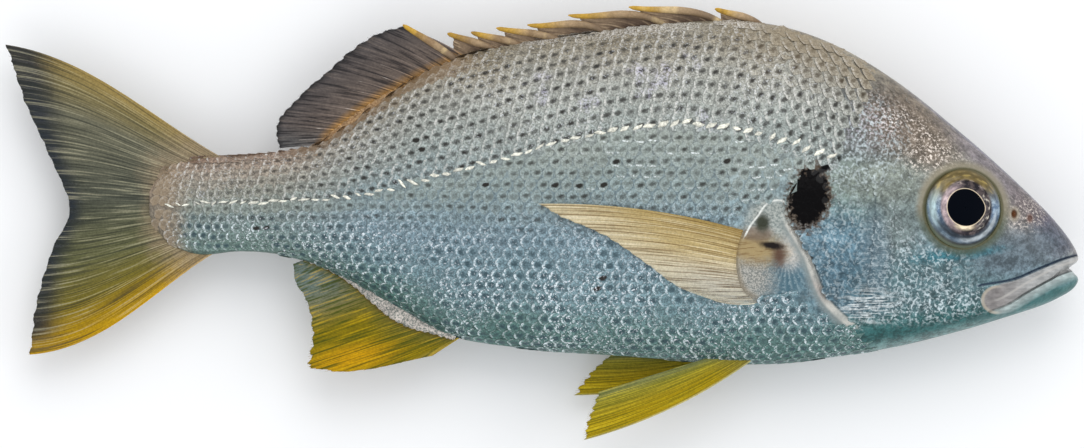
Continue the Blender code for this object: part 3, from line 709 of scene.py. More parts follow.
class Finish(Nodes):
    """One material: its nodes, its shader, and a base on which coats of colour are laid one after another."""

    def __init__(self, name, fixed):
        self.material = bpy.data.materials.new(name)
        self.material.use_nodes = True
        super().__init__(self.material.node_tree)
        self.shader = self.tree.nodes["Principled BSDF"]
        for label, value in fixed.items():
            self.shader.inputs[label].default_value = value
        self.base = None
        at = self.add("ShaderNodeTexCoord", output="Object")
        own = self.vectors("SUBTRACT", at, tuple(LAID_AT))
        self.mm = self.vectors("MULTIPLY", own, (1000.0,) * 3)
        self.x, self.y, _ = self.parts(self.mm)

    def vectors(self, operation, first, second):
        return self.add("ShaderNodeVectorMath", {"operation": operation}, {0: first, 1: second})

    def parts(self, vector):
        """The three numbers of a vector."""
        first = self.add("ShaderNodeSeparateXYZ", values={0: vector})
        return first, first.output(1), first.output(2)

    def number(self, name):
        return self.add("ShaderNodeAttribute", {"attribute_name": name}, output="Fac")

    def vector(self, name):
        return self.add("ShaderNodeAttribute", {"attribute_name": name}, output="Vector")

    def smooth(self, value, low, high):
        """0 at low and 1 at high, with soft ends; low may be the larger."""
        values = {0: value, 1: low, 2: high, 3: 0.0, 4: 1.0}
        return self.add("ShaderNodeMapRange", {"interpolation_type": "SMOOTHSTEP"}, values)

    def near(self, value, middle, outer, inner):
        """1 where the value is within inner of a middle, 0 beyond outer."""
        return self.smooth(abs(value - middle), outer, inner)

    def noise(self, scale, detail=2.0, stretch=(1.0, 1.0, 1.0), vector=None, roughness=0.5):
        at = self.vectors("MULTIPLY", vector or self.mm, stretch)
        values = {"Vector": at, "Scale": scale, "Detail": detail, "Roughness": roughness}
        return self.add("ShaderNodeTexNoise", values=values)

    def patches(self, scale, detail, low, high, **rest):
        """Noise cut into patches with soft edges."""
        return self.smooth(self.noise(scale, detail, **rest), low, high)

    def contrast(self, value, low=0.34, high=0.66, dark=0.7, light=1.3):
        """A noise spread to its full range and turned into a number to shade with."""
        return self.smooth(value, low, high) * (light - dark) + dark

    def mix(self, first, second, share):
        settings = {"data_type": "RGBA", "blend_type": "MIX", "clamp_factor": True}
        return self.add("ShaderNodeMix", settings, {0: share, 6: first, 7: second}, output=2)

    def ramp(self, value, stops):
        """A colour by the value, from stops of a place and a colour of the screen."""
        light = [(place, tone(*colour)) for place, colour in stops]
        return self.add("ShaderNodeValToRGB", {"stops": light}, {0: value})

    def scaled(self, vector, share):
        """A vector or a colour times a number."""
        vector = vector if isinstance(vector, Value) else tuple(vector)[:3]
        return self.add("ShaderNodeVectorMath", {"operation": "SCALE"}, {0: vector, "Scale": share})

    def shade(self, share):
        """Makes the base darker or lighter by a number."""
        self.base = self.scaled(self.base, share)

    def lay(self, colour, share):
        """Lays a coat over the base. Three plain numbers are a colour of the screen, 0 to 255."""
        ready = isinstance(colour, Value) or len(colour) == 4
        self.base = self.mix(self.base, colour if ready else tone(*colour), share)

    def lay_all(self, coats, **given):
        """Lays coats in order. Each has a colour, a strength and its bounds, whose shares are multiplied."""
        given.update(x=self.x, y=self.y)
        for colour, strength, *bounds in coats:
            share = strength
            for bound in bounds:
                share = self.bound(bound, given) * share
            self.lay(colour, share)

    def bound(self, rule, given):
        """A bound of a coat is one of four things, told apart by what stands first and how much follows.

        The name of a given mask; a given number's name, where the coat is 0 and where it is 1; a number's
        name, a middle, and how far off it the coat is 0 and 1; or an oval, as blot() takes it.
        """
        if isinstance(rule, str):
            return given[rule]
        if isinstance(rule[0], tuple):
            return self.blot(*rule)
        name, *limits = rule
        return self.smooth(given[name], *limits) if len(limits) == 2 else self.near(given[name], *limits)

    def blot(self, centre, radii, edge=0.3, wobble=0.0, turn=0.0):
        """1 inside an oval in the side view, in millimetres, with a soft and maybe ragged edge."""
        cos, sin = float(np.cos(turn)), float(np.sin(turn))
        off_x, off_y = self.x - centre[0], self.y - centre[1]
        away = oval(off_x * cos + off_y * sin, radii[0], off_y * cos - off_x * sin, radii[1])
        if wobble:
            away = away + (self.noise(0.9, 4.0) - 0.5) * wobble
        return self.smooth(away, 1.0 + edge, 1.0 - edge)

    def zones(self, rows):
        """The strongest of several ovals, each a strength and then an oval as blot() takes it."""
        whole = None
        for strength, *rule in rows:
            mask = self.blot(*rule) * strength
            whole = whole.most(mask) if whole else mask
        return whole

    def bump(self, height, distance):
        """Raises the surface by height times a distance in metres."""
        return self.add("ShaderNodeBump", values={"Height": height, "Distance": distance, "Strength": 1.0})

    def done(self, **links):
        """Links the base and what else varies to the shader."""
        for label, value in {"Base_Color": self.base, **links}.items():
            self.tree.links.new(value.socket, self.shader.inputs[label.replace("_", " ")])
        return self.material


# Tones from the belly's edge to the back, on the trunk and at the tail's root. The darker tones at both edges
# are partly the fish's own colour and partly painted shade where the body turns away.
TRUNK_TONES = (
    (0.00, (70, 104, 98)),
    (0.07, (88, 118, 114)),
    (0.17, (106, 132, 138)),
    (0.35, (122, 144, 154)),
    (0.50, (130, 148, 152)),
    (0.66, (146, 154, 150)),
    (0.84, (150, 150, 142)),
    (0.94, (144, 138, 124)),
    (1.00, (128, 118, 98)),
)
TAIL_ROOT_TONES = (
    (0.00, (96, 120, 112)),
    (0.30, (122, 138, 136)),
    (0.60, (140, 142, 132)),
    (0.85, (148, 136, 122)),
    (1.00, (142, 120, 104)),
)
SCALE_SETTINGS = {"Metallic": 0.2, "Specular IOR Level": 0.25, "Coat Weight": 0.06, "Coat Roughness": 0.2}

# Coats of colour, as Finish.lay_all() takes them: a colour of the screen, its strength, and its bounds.
UPPER_SCALE_COATS = (
    # Painted lilac glints on the upper flank.
    ((208, 204, 224), 0.6, "lilac", ("rise", 0.80, 0.14, 0.06), ("x", -10.0, 5.0), ("x", 62.0, 50.0),
     ("grain", 0.44, 0.60)),
    # Pale flecks along the back's ridge under the spines: the tiny scales' own pale colour with painted
    # sparkle.
    ((238, 236, 232), 0.6, ("rise", 0.975, 0.99), ("x", -10.0, 0.0), ("x", 68.0, 60.0), ("fine", 0.44, 0.56)),
    ((164, 142, 108), 0.32, ("rise", 0.80, 0.99), ("x", 48.0, 74.0)),
    ((140, 112, 80), 0.75, ("rise", 0.90, 0.985), ("x", -14.0, -30.0), ("x", -78.0, -66.0)),
)
DASH_COATS = (
    ((230, 236, 236), 0.9, ("across", 0.55, 0.16, 0.05), ("open_part", 0.05, 0.25), "rows", "dots",
     ("rise", 0.60, 0.14, 0.08), ("x", 0.0, 30.0)),
)
HEAD_PATCHES = (
    # Middle and radii in millimetres, turn, colour, strength.
    ((95.0, 29.0), (17.0, 15.0), 0.0, (88, 90, 88), 0.9),
    ((111.0, 27.0), (17.0, 10.0), -0.75, (112, 98, 84), 0.85),
    ((92.0, 6.0), (9.0, 12.0), 0.0, (108, 128, 122), 0.8),
    ((88.0, -8.0), (11.0, 11.0), 0.0, (86, 118, 134), 0.85),
    ((93.0, -20.0), (14.0, 9.0), 0.0, (70, 98, 112), 0.85),
    ((106.0, 2.0), (8.0, 16.0), 0.0, (100, 110, 106), 0.75),
    ((101.0, 12.0), (15.0, 6.0), 0.0, (122, 128, 118), 0.7),
    ((118.0, -18.0), (21.0, 11.0), 0.1, (78, 104, 108), 0.9),
    ((140.0, 13.0), (24.0, 5.0), -0.75, (116, 108, 114), 0.85),
    ((148.0, 1.0), (11.0, 10.0), -0.5, (108, 98, 98), 0.75),
    ((155.0, -3.0), (7.0, 8.0), 0.0, (84, 82, 98), 0.85),
    ((143.0, -9.0), (14.0, 6.5), 0.25, (92, 104, 112), 0.85),
    ((124.0, -9.6), (13.0, 1.7), 0.12, (50, 108, 120), 0.8),
)
HEAD_EDGE_COATS = (
    ((116, 120, 138), 0.5, ("rise", 0.975, 0.995), ("x", 104.0, 120.0)),
    # Dark teal along the throat: its own colour, darkened further by painted shade where the head turns
    # under.
    ((40, 88, 88), 0.9, ("throat", -40.5, -46.5), ("x", 70.0, 96.0)),
    ((124, 150, 148), 0.6, ("belly", 0.05, 0.005)),
)
WARM_ZONES = ((1.0, (111.0, 24.0), (19.0, 6.5), 0.5, 0.6, -0.65), (0.6, (145.0, 2.0), (7.0, 5.0), 0.5, 0.5))
COLD_ZONES = (
    (1.0, (115.0, -23.5), (25.0, 5.0), 0.6, 0.6, 0.15),
    (0.2, (92.0, -6.0), (12.0, 22.0), 0.6, 0.8),
    (0.6, (97.0, 22.0), (12.0, 13.0), 0.5, 0.8),
)
NET_ZONES = (
    (0.85, (117.0, -24.5), (20.0, 5.0), 0.5, 0.6, 0.12),
    (0.6, (112.0, -15.0), (16.0, 12.0), 0.5, 0.6),
    (0.3, (90.0, -8.0), (12.0, 22.0), 0.5, 0.6),
    (0.45, (96.0, 24.0), (12.0, 14.0), 0.4, 0.8),
)
COVER_BAND = ((99.5, -9.5), (4.2, 12.5), 0.45, 0.6, 0.05)
HEAD_DETAIL_COATS = (
    ((240, 228, 216), 0.95, ("speck", 0.52, 0.62), "warm", "cluster"),
    ((222, 234, 238), 0.55, ("speck", 0.55, 0.68), "cold", "cluster"),
    # Painted lilac glints on the nape.
    ((212, 206, 224), 0.3, ((97.0, 29.0), (8.0, 6.0), 0.8, 1.4), ("grain", 0.46, 0.62)),
    ((214, 228, 232), 1.0, "lines", "net_zone"),
    ((84, 106, 118), 0.6, COVER_BAND),
    ((176, 190, 194), 0.6, COVER_BAND, ("bars", 0.48, 0.60), "broken"),
    ((226, 232, 232), 0.9, ((97.0, -25.0), (8.0, 5.0), 0.5, 0.6), ("bars", 0.48, 0.56), "half_broken"),
)
FLAP = ((68.5, 0.5), (7.5, 6.5), 0.35, 0.3)
FAN = ((71.0, -16.5), (7.5, 7.0), 0.35, 0.4)
LOW_FLESH = ((62.4, -16.0), (6.0, 7.6), 0.7, 0.5, 0.25)
FLESH = ((62.6, -7.6), (10.0, 4.4), 0.6, 0.4, -0.15)
GILL_COATS = (
    ((122, 130, 126), 0.9, FLAP),
    ((206, 208, 200), 0.55, FLAP, "rough"),
    ((70, 102, 116), 0.9, FAN),
    ((180, 198, 202), 1.0, FAN, "folds"),
    ((224, 216, 206), 0.85, ((74.4, -8.6), (3.2, 4.6), 0.8, 0.4), "glowing"),
    ((128, 128, 122), 0.9, LOW_FLESH),
    ((206, 202, 192), 0.6, LOW_FLESH, "dots"),
    ((166, 144, 100), 0.95, FLESH),
    ((112, 84, 46), 0.6, FLESH, ("streaks", 0.50, 0.62)),
    ((150, 130, 98), 0.5, ("arc", -0.6, 2.6, 0.5), ("y", -9.0, -13.0), ("y", -24.5, -21.0)),
    ((84, 56, 44), 0.9, ((70.9, -9.9), (1.9, 3.3), 0.8, 0.7)),
    ((22, 14, 12), 1.0, ((68.6, -7.0), (3.4, 1.1), 0.5, 0.6, -0.12)),
    ((110, 94, 80), 0.8, ((64.6, -3.4), (4.4, 2.4), 0.4, 0.4)),
    ((44, 48, 32), 0.95, ((65.9, -0.4), (2.1, 2.7), 0.5, 0.6)),
    ((226, 228, 222), 1.0, ("flap", 0.0, 0.42, 0.12), ("x", 59.5, 61.0), ("x", 75.0, 73.5), "edge"),
    ((134, 142, 140), 0.85, ("gill", -5.0, -2.2), ("gill", 0.15, -0.25), "span"),
)
MOUTH_COATS = (
    ((196, 192, 186), 0.5, ("mouth", -2.6, 0.5, 0.15), ("x", 134.0, 138.0), "lips"),
    ((190, 180, 162), 0.65, ("heel", 0.90, 0.15, 0.03), "rear_part", ("jaw", 0.0, 1.2)),
    # Painted shade in the mouth's two gaps: along the mouth's line and along the jaw's.
    ((52, 56, 58), 0.75, ("mouth", 0.0, 0.42, 0.12), ("x", 132.0, 152.0)),
    ((36, 52, 74), 0.85, ("jaw", -0.1, 0.55, 0.15), ("x", 129.5, 131.0)),
    ((70, 116, 116), 0.55, ("below_lip", -0.2, 0.8), ("x", 128.0, 134.0)),
    ((60, 76, 84), 0.3, ("cheek", 0.0, 0.5, 0.1)),
)


def body_tone(finish, rise):
    """The fish's colour by height between belly and back, blended towards the tail."""
    drift = (finish.noise(0.06, 3.0) - 0.5) * 0.16
    trunk = finish.ramp(rise + drift, TRUNK_TONES)
    tail = finish.ramp(rise + drift, TAIL_ROOT_TONES)
    base = finish.mix(trunk, tail, finish.smooth(finish.x, -45.0, -85.0))
    root = finish.smooth(finish.x + (finish.noise(0.5, 3.0) - 0.5) * 8.0, -103.0, -113.0)
    return finish.mix(base, tone(150, 132, 112), root * 0.75)


def trunk_finish():
    """Bare skin under the scales, darker than they are."""
    finish = Finish("trunk_skin", {"Metallic": 0.2, "Specular IOR Level": 0.3})
    rise = finish.number("rise")
    grain = finish.noise(1.6, 4.0)
    # Painted shade: the skin is darkened to three quarters where it shows between scales, fading out towards
    # the ridge.
    finish.base = finish.scaled(body_tone(finish, rise), finish.smooth(rise, 0.80, 0.95) * 0.25 + 0.75)
    finish.shade(finish.contrast(grain))
    return finish.done(Roughness=grain * 0.25 + 0.3, Normal=finish.bump(grain, 0.0002))


def scale_finish(name, upper, colours):
    """Scales: a dark spot on the open part of each, a pale granular rim, grain and glints."""
    finish = Finish(name, SCALE_SETTINGS)
    along, across, _ = finish.parts(finish.add("ShaderNodeUVMap", {"uv_map": "scale_uv"}))
    across = (across - 0.5) * 2.0
    open_part = (along - 0.33) / 0.67
    rise, spot, shade = finish.parts(finish.vector("scale_place"))
    low = finish.smooth(rise, 0.50, 0.25)
    middle = finish.near(rise, 0.58, 0.20, 0.06)
    grain = finish.noise(1.3, 3.0, roughness=0.75)
    fine = finish.noise(2.0, 2.0, roughness=0.7)
    lift = low * finish.smooth(finish.x, -20.0, 20.0) * 0.10 + 1.0
    if not upper:
        lift = lift + middle * 0.12
    finish.base = finish.scaled(body_tone(finish, rise), lift)
    finish.shade(shade * finish.contrast(grain, 0.38, 0.62, 0.70, 1.24))
    finish.shade(finish.contrast(fine, 0.38, 0.62, 0.70, 1.28))

    off = (grain - 0.5) * 0.8
    spot_away = oval(open_part - 0.45, 0.34, across - (open_part - 0.45) * 0.45, 0.36) + off
    dots = finish.patches(1.5, 2.0, 0.44, 0.58, roughness=0.8)
    rim = finish.smooth(open_part + (finish.noise(0.7, 2.0) - 0.5) * 0.35, 0.72, 0.84) * dots
    rim = rim * (finish.near(across, 0.0, 1.0, 0.55) * 0.6 + 0.4)
    patchy = finish.patches(0.10, 3.0, 0.36, 0.60)
    if upper:
        finish.lay((216, 214, 208), rim * (patchy * 0.35 + 0.42))
    else:
        lozenge = finish.smooth(oval(open_part - 0.42, 0.36, across, 0.52) + off, 1.25, 0.45)
        strong = low * finish.patches(0.09, 3.0, 0.34, 0.56)
        finish.lay((40, 68, 78), lozenge * (strong * 0.70 + 0.10))
        finish.lay((140, 146, 134), middle * 0.4)
        finish.lay((226, 236, 240), rim * (patchy * 0.6 + 0.30) * (low * 0.85 + 0.15))
    finish.lay((*colours.spot, 1.0), finish.smooth(spot_away, 1.35, 0.30) * spot)
    if not upper:
        rows = finish.patches(0.10, 2.0, 0.50, 0.56, stretch=(0.5, 2.0, 1.0))
        finish.lay_all(DASH_COATS, across=across, open_part=open_part, rows=rows, dots=dots, rise=rise)
    # Painted glints: small pale flecks that stand in for light caught by the scales, stronger low on the
    # flank.
    glint = finish.patches(1.4, 2.0, 0.58, 0.66, roughness=0.8) * finish.patches(0.055, 3.0, 0.42, 0.58)
    finish.lay((238, 242, 248), glint * (0.40 if upper else low * 0.75 + 0.12))
    if upper:
        # Patches of painted lilac glint on the upper flank.
        lilac = finish.patches(0.11, 2.0, 0.58, 0.70, stretch=(1.0, 0.8, 1.0))
        finish.lay_all(UPPER_SCALE_COATS, lilac=lilac, rise=rise, grain=grain, fine=fine)
    finish.lay((148, 130, 106), finish.smooth(finish.x + (grain - 0.5) * 10.0, -105.0, -116.0) * 0.75)
    return finish.done(Roughness=grain * 0.35 + 0.25, Normal=finish.bump(grain + fine, 0.00010))


def lay_blotch(finish, colours):
    """The black mark at the top of the gill opening, its brown ragged edge, and a slit that runs up from it.

    Returns 1 where the skin is bare of it.
    """
    x = finish.x - 79.6 - (finish.y - 7.6) * 0.10
    away = oval(x, 5.6, finish.y - 7.4, 8.6) + (finish.noise(0.8, 4.0, roughness=0.65) - 0.5) * 1.3
    # The slit's black is painted shade in the gill opening.
    slit = finish.blot((85.4, 16.6), (5.6, 1.1), 0.5, 0.6, turn=0.62)
    black = finish.smooth(away, 1.14, 0.92).most(slit)
    finish.lay((84, 64, 46), finish.smooth(away, 1.36, 1.08) * 0.85)
    finish.lay((*colours.blotch, 1.0), black)
    return 1.0 - black


def lay_head_tone(finish, rise):
    """Lays the colours of the head, for its skin and its small scales, and returns its grain and net."""
    finish.base = body_tone(finish, rise)
    for centre, radii, turn, colour, strength in HEAD_PATCHES:
        finish.lay(colour, finish.blot(centre, radii, 0.5, 0.7, turn) * strength)
    drift = finish.noise(0.22, 4.0, roughness=0.6) - 0.5
    throat = finish.y - finish.x * 0.15 + drift * 14.0
    finish.lay_all(HEAD_EDGE_COATS, rise=rise, throat=throat, belly=rise + drift * 0.04)
    finish.shade(finish.contrast(finish.noise(0.30, 5.0, roughness=0.7), 0.34, 0.66, 0.62, 1.38))
    grain = finish.noise(1.2, 3.0, roughness=0.75)
    finish.shade(finish.contrast(grain, 0.36, 0.64, 0.84, 1.14))
    bent = finish.vectors("ADD", finish.mm, finish.scaled(finish.noise(0.5, 2.0).output("Color"), 1.6))
    cells = {"Vector": finish.vectors("MULTIPLY", bent, (1.0, 0.8, 1.0)), "Scale": 0.46}
    net = finish.add("ShaderNodeTexVoronoi", {"feature": "DISTANCE_TO_EDGE"}, cells)
    broken = finish.patches(0.9, 3.0, 0.44, 0.58, roughness=0.7)
    given = {
        "speck": finish.noise(1.2, 3.0, roughness=0.8),
        "cluster": finish.patches(0.14, 3.0, 0.40, 0.58) * 0.75 + 0.25,
        "warm": finish.zones(WARM_ZONES),
        "cold": finish.zones(COLD_ZONES),
        "net_zone": finish.zones(NET_ZONES),
        "grain": grain,
        "lines": finish.smooth(net, 0.17, 0.03) * broken,
        "bars": finish.noise(1.0, 2.0, stretch=(0.18, 1.9, 0.2)),
        "broken": broken,
        "half_broken": broken * 0.5 + 0.5,
    }
    finish.lay_all(HEAD_DETAIL_COATS, **given)
    return grain, net


def lay_gill_details(finish, grain):
    """The membrane behind the gill cover, the flap above the side fin, and the fin's fleshy root."""
    gill = finish.number("gill")
    y = finish.y
    rough = finish.smooth(grain, 0.36, 0.62)
    angle = (y + 10.0).math("ARCTAN2", finish.x - 73.0)
    folds = finish.smooth((angle * 30.0 + (grain - 0.5) * 9.0).math("SINE"), -0.3, 0.7)
    span = finish.smooth(y, 1.8, -1.4) * finish.smooth(y, -32.5, -30.5)
    given = {
        "gill": gill,
        "flap": finish.number("flap"),
        "arc": finish.number("arc"),
        "rough": rough,
        "folds": folds * (rough * 0.35 + 0.05),
        "glowing": rough * 0.5 + 0.5,
        "dots": finish.patches(2.2, 2.0, 0.46, 0.56, roughness=0.7),
        "streaks": finish.noise(1.0, 2.0, stretch=(0.25, 2.2, 0.3)),
        "edge": rough * 0.3 + 0.65,
        "span": span,
    }
    finish.lay_all(GILL_COATS, **given)
    pale = finish.mix(tone(216, 212, 202), tone(184, 168, 160), finish.near(y, -20.0, 5.0, 1.0) * 0.6)
    lit = finish.near(gill, -1.15, 1.5, 0.4) * (rough * 0.2 + 0.8)
    finish.lay(pale, lit * span * (finish.patches(0.3, 3.0, 0.3, 0.6) * 0.35 + 0.45))
    # Painted shade in the slit along the gill cover's edge, darkest at its middle.
    dark = finish.near(gill, 0.15, 0.45, 0.15) * finish.near(y, -6.0, 27.0, 20.0)
    finish.lay((48, 46, 40), dark * (finish.near(y, -8.0, 7.0, 3.0) * 0.5 + 0.35))


def head_finish(colours):
    """Skin of the head, with its blotch, lips, nostrils and slits."""
    finish = Finish("head_skin", {"Metallic": 0.2, "Specular IOR Level": 0.08, "Coat Roughness": 0.12})
    mouth, jaw, eye, cheek = (finish.number(name) for name in ("mouth", "jaw", "eye", "cheek"))
    grain, net = lay_head_tone(finish, finish.number("rise"))
    x, y = finish.x, finish.y
    lid = finish.mix(tone(78, 86, 70), tone(142, 134, 114), finish.smooth(y, -2.0, 6.0))
    finish.lay(lid, finish.smooth(eye, 15.2, 12.8) * 0.85)
    finish.lay((78, 76, 48), finish.smooth(eye, 12.7, 11.9) * 0.9)

    below_lip = mouth - (finish.smooth(x, 131.0, 146.0) * 1.8 + 1.1)
    heel = oval(x - 136.6, 5.2, y + 23.2, 4.4)
    rear_part = finish.smooth(x, 138.4, 135.4)
    lips = finish.smooth(jaw, 0.0, 0.8) * finish.smooth(below_lip, 0.5, -0.3)
    lips = lips * (1.0 - rear_part * finish.smooth(heel, 0.86, 1.04))
    upper = finish.mix(tone(140, 134, 132), tone(172, 172, 170), finish.smooth(x, 134.0, 150.0))
    lower = finish.mix(tone(172, 184, 182), tone(118, 146, 146), finish.smooth(mouth, 0.8, 3.0))
    lip = finish.mix(upper, lower, finish.smooth(mouth, -0.2, 0.3))
    streaks = finish.noise(0.9, 3.0, stretch=(0.35, 1.4, 0.5))
    lip = finish.scaled(lip, finish.contrast(streaks, 0.3, 0.7, 0.84, 1.14))
    lip = finish.scaled(lip, finish.contrast(finish.noise(0.35, 3.0), 0.34, 0.66, 0.82, 1.12))
    finish.lay(lip, lips * 0.95)
    given = {"mouth": mouth, "jaw": jaw, "cheek": cheek, "lips": lips, "below_lip": below_lip}
    finish.lay_all(MOUTH_COATS, heel=heel, rear_part=rear_part, **given)

    lay_gill_details(finish, grain)
    bare = lay_blotch(finish, colours)
    (x, y, radius), (x2, y2, _) = NOSTRILS
    finish.lay((166, 156, 138), finish.blot((x * 1000, y * 1000), (radius * 1900, radius * 2400), 0.4) * 0.7)
    finish.lay((92, 54, 26), finish.blot((x * 1000, y * 1000), (radius * 900, radius * 1400), 0.5))
    finish.lay((134, 104, 94), finish.blot((x2 * 1000, y2 * 1000), (0.9, 1.2), 0.6) * 0.8)
    normal = finish.bump(grain * 0.6 + finish.smooth(net, 0.0, 0.3) * 0.5, 0.00018)
    return finish.done(Roughness=grain * 0.3 + 0.22, Normal=normal, Coat_Weight=bare * 0.25)


def build_skin(shape, colours):
    """The trunk's skin under the scales, and the finer skin of the head with all its forms."""
    positions = np.linspace(BODY_SECTIONS[0][0], HEAD_STARTS_AT, TRUNK_RINGS)
    rings = laid_skin(body_rings(positions, TRUNK_RING_POINTS), shape.eye_radius)
    trunk = closed_loft("trunk_skin", rings)
    add_attribute(trunk, "rise", rise_at(rings.reshape(-1, 3)))
    add_piece("trunk_skin", trunk, trunk_finish())
    share = np.linspace(0.0, 1.0, HEAD_RINGS)
    positions = HEAD_STARTS_AT + (SNOUT_X - HEAD_STARTS_AT) * (1.2 * share - 0.2 * share**2)
    rings = laid_skin(body_rings(positions, HEAD_RING_POINTS), shape.eye_radius)
    head = closed_loft("head_skin", rings)
    points = rings.reshape(-1, 3)
    x, y = points[:, 0], points[:, 1]
    add_attribute(head, "rise", rise_at(points))
    curves = {"mouth": MOUTH_CURVE, "gill": GILL_CURVE, "cheek": CHEEK_CURVE, "jaw": JAW_CURVE}
    for name, curve in {**curves, "flap": FLAP_CURVE, "arc": FIN_ARC_CURVE}.items():
        add_attribute(head, name, distance_to(curve, x, y) * 1000)
    add_attribute(head, "eye", np.hypot(x - EYE_CENTRE[0], y - EYE_CENTRE[1]) * 1000)
    add_piece("head_skin", head, head_finish(colours))


class Flank:
    """One side of the body as a table of points, to lay scales on. run is measured up from the belly."""

    def __init__(self, side, eye_radius, stations=360, around=160):
        self.side = side
        self.x = np.linspace(BODY_SECTIONS[0][0], SNOUT_X - FLANK_ENDS_SHORT, stations)
        upper, lower = (0, 3) if side > 0 else (1, 2)
        rows = []
        for x in self.x:
            low = quarter_arc(x, lower, around // 2, closed=True)
            high = quarter_arc(x, upper, around // 2 + 1, closed=True)
            low = low if low[0, 1] < low[-1, 1] else low[::-1]
            high = high if high[0, 1] < high[-1, 1] else high[::-1]
            rows.append(np.vstack([low[:-1], high]))
        laid = laid_skin(np.array(rows), eye_radius)
        steps = np.hypot(np.diff(laid[..., 1], axis=1), np.diff(laid[..., 2], axis=1))
        runs = np.concatenate([np.zeros((stations, 1)), np.cumsum(steps, axis=1)], 1)
        self.total = runs[:, -1]
        share = np.linspace(0.0, 1.0, around)
        self.points = np.array(
            [
                np.stack([np.interp(share * run[-1], run, ring[:, k]) for k in range(3)], 1)
                for run, ring in zip(runs, laid)
            ]
        )

    def at(self, x, run):
        """Points on the skin at x and that far up from the belly's edge."""
        place = np.clip((x - self.x[0]) / (self.x[1] - self.x[0]), 0.0, len(self.x) - 1.001)
        i = place.astype(int)
        t = (place - i)[:, None]
        share = np.clip(run / np.interp(x, self.x, self.total), 0.0, 0.9999) * (self.points.shape[1] - 1)
        j = share.astype(int)
        s = (share - j)[:, None]
        near = self.points[i, j] * (1 - s) + self.points[i, j + 1] * s
        far = self.points[i + 1, j] * (1 - s) + self.points[i + 1, j + 1] * s
        return near * (1 - t) + far * t

    def run_at(self, x, y):
        """How far up from the belly's edge the skin passes the height y."""
        return np.array([self._run_at_one(px, py) for px, py in zip(x, y)])

    def _run_at_one(self, x, y):
        place = min(max((x - self.x[0]) / (self.x[1] - self.x[0]), 0.0), len(self.x) - 1.001)
        i = int(place)
        heights = self.points[i, :, 1] * (1 - place + i) + self.points[i + 1, :, 1] * (place - i)
        share = np.interp(y, heights, np.linspace(0.0, 1.0, len(heights)))
        return float(share * np.interp(x, self.x, self.total))

    def turns(self, x, run):
        """Points, and turns that lay a scale on the skin with its free rim towards the tail."""
        step = TURN_STEP
        centre = self.at(x, run)
        back = self.at(x - step, run) - self.at(x + step, run)
        up = self.at(x, run + step) - self.at(x, run - step)
        back /= np.linalg.norm(back, axis=1)[:, None]
        out = np.cross(up, back) * self.side
        out /= np.linalg.norm(out, axis=1)[:, None] + 1e-12
        across = np.cross(out, back)
        return centre, np.array(
            [Matrix((b, a, o)).transposed().to_euler() for b, a, o in zip(back, across, out)]
        )


class Tree(Nodes):
    """A Geometry Nodes tree with named inputs, which ends in real geometry with its finish."""

    def __init__(self, name, **inputs):
        super().__init__(bpy.data.node_groups.new(name, "GeometryNodeTree"))
        face = self.tree.interface
        for label, kind in {**inputs, "Finish": "Material"}.items():
            face.new_socket(label.replace("_", " "), in_out="INPUT", socket_type="NodeSocket" + kind)
        face.new_socket("Mesh", in_out="OUTPUT", socket_type="NodeSocketGeometry")
        self.given = self.add("NodeGroupInput")

    def named(self, name, kind):
        return self.add("GeometryNodeInputNamedAttribute", {"data_type": kind}, {"Name": name})

    def ended(self, geometry):
        real = self.add("GeometryNodeRealizeInstances", values={0: geometry})
        values = {0: real, "Material": self.given.output("Finish")}
        self.add("NodeGroupOutput", values={0: self.add("GeometryNodeSetMaterial", values=values)})
        return self.tree


def scatter_tree():
    """Lays a copy of one shape on every point, turned and sized by the points' own attributes."""
    nodes = Tree("scatter_on_skin", Points="Geometry", Shape="Object", Size_variation="Float", Seed="Int")
    given = nodes.given
    shape = nodes.add("GeometryNodeObjectInfo", values={"Object": given.output("Shape")}, output="Geometry")
    rotation = nodes.add("FunctionNodeEulerToRotation", values={0: nodes.named("turn", "FLOAT_VECTOR")})
    spread = given.output("Size variation")
    limits = {2: 1.0 - spread, 3: spread + 1.0, "Seed": given.output("Seed")}
    varied = nodes.add("FunctionNodeRandomValue", {"data_type": "FLOAT"}, limits, output=1)
    size = {0: nodes.named("size", "FLOAT_VECTOR"), "Scale": varied}
    sized = nodes.add("ShaderNodeVectorMath", {"operation": "SCALE"}, size)
    links = {"Points": given.output("Points"), "Instance": shape, "Rotation": rotation, "Scale": sized}
    return nodes.ended(nodes.add("GeometryNodeInstanceOnPoints", values=links))


def ray_tree():
    """Turns drawn lines into round rays whose thickness is an attribute of the lines."""
    nodes = Tree("rays_along_lines", Lines="Geometry", Thickness="Float", Sides="Int")
    given = nodes.given
    curve = nodes.add("GeometryNodeMeshToCurve", values={0: given.output("Lines")})
    scale = nodes.named("width", "FLOAT") * given.output("Thickness")
    profile = {"Resolution": given.output("Sides"), "Radius": 1.0}
    circle = nodes.add("GeometryNodeCurvePrimitiveCircle", values=profile)
    values = {"Curve": curve, "Profile Curve": circle, "Scale": scale, "Fill Caps": True}
    return nodes.ended(nodes.add("GeometryNodeCurveToMesh", values=values))


def grown(name, seeds, tree, inputs):
    """Runs a Geometry Nodes tree on a mesh of points or lines and returns the result as a plain mesh."""
    holder = bpy.data.objects.new(name, seeds)
    bpy.context.scene.collection.objects.link(holder)
    modifier = holder.modifiers.new("grow", "NODES")
    modifier.node_group = tree
    for item in tree.interface.items_tree:
        if item.in_out == "INPUT" and item.name in inputs:
            modifier[item.identifier] = inputs[item.name]
    bpy.context.view_layer.update()
    depsgraph = bpy.context.evaluated_depsgraph_get()
    mesh = bpy.data.meshes.new_from_object(holder.evaluated_get(depsgraph), depsgraph=depsgraph)
    mesh.name = name
    holder.modifiers.clear()
    bpy.data.objects.remove(holder)
    return mesh


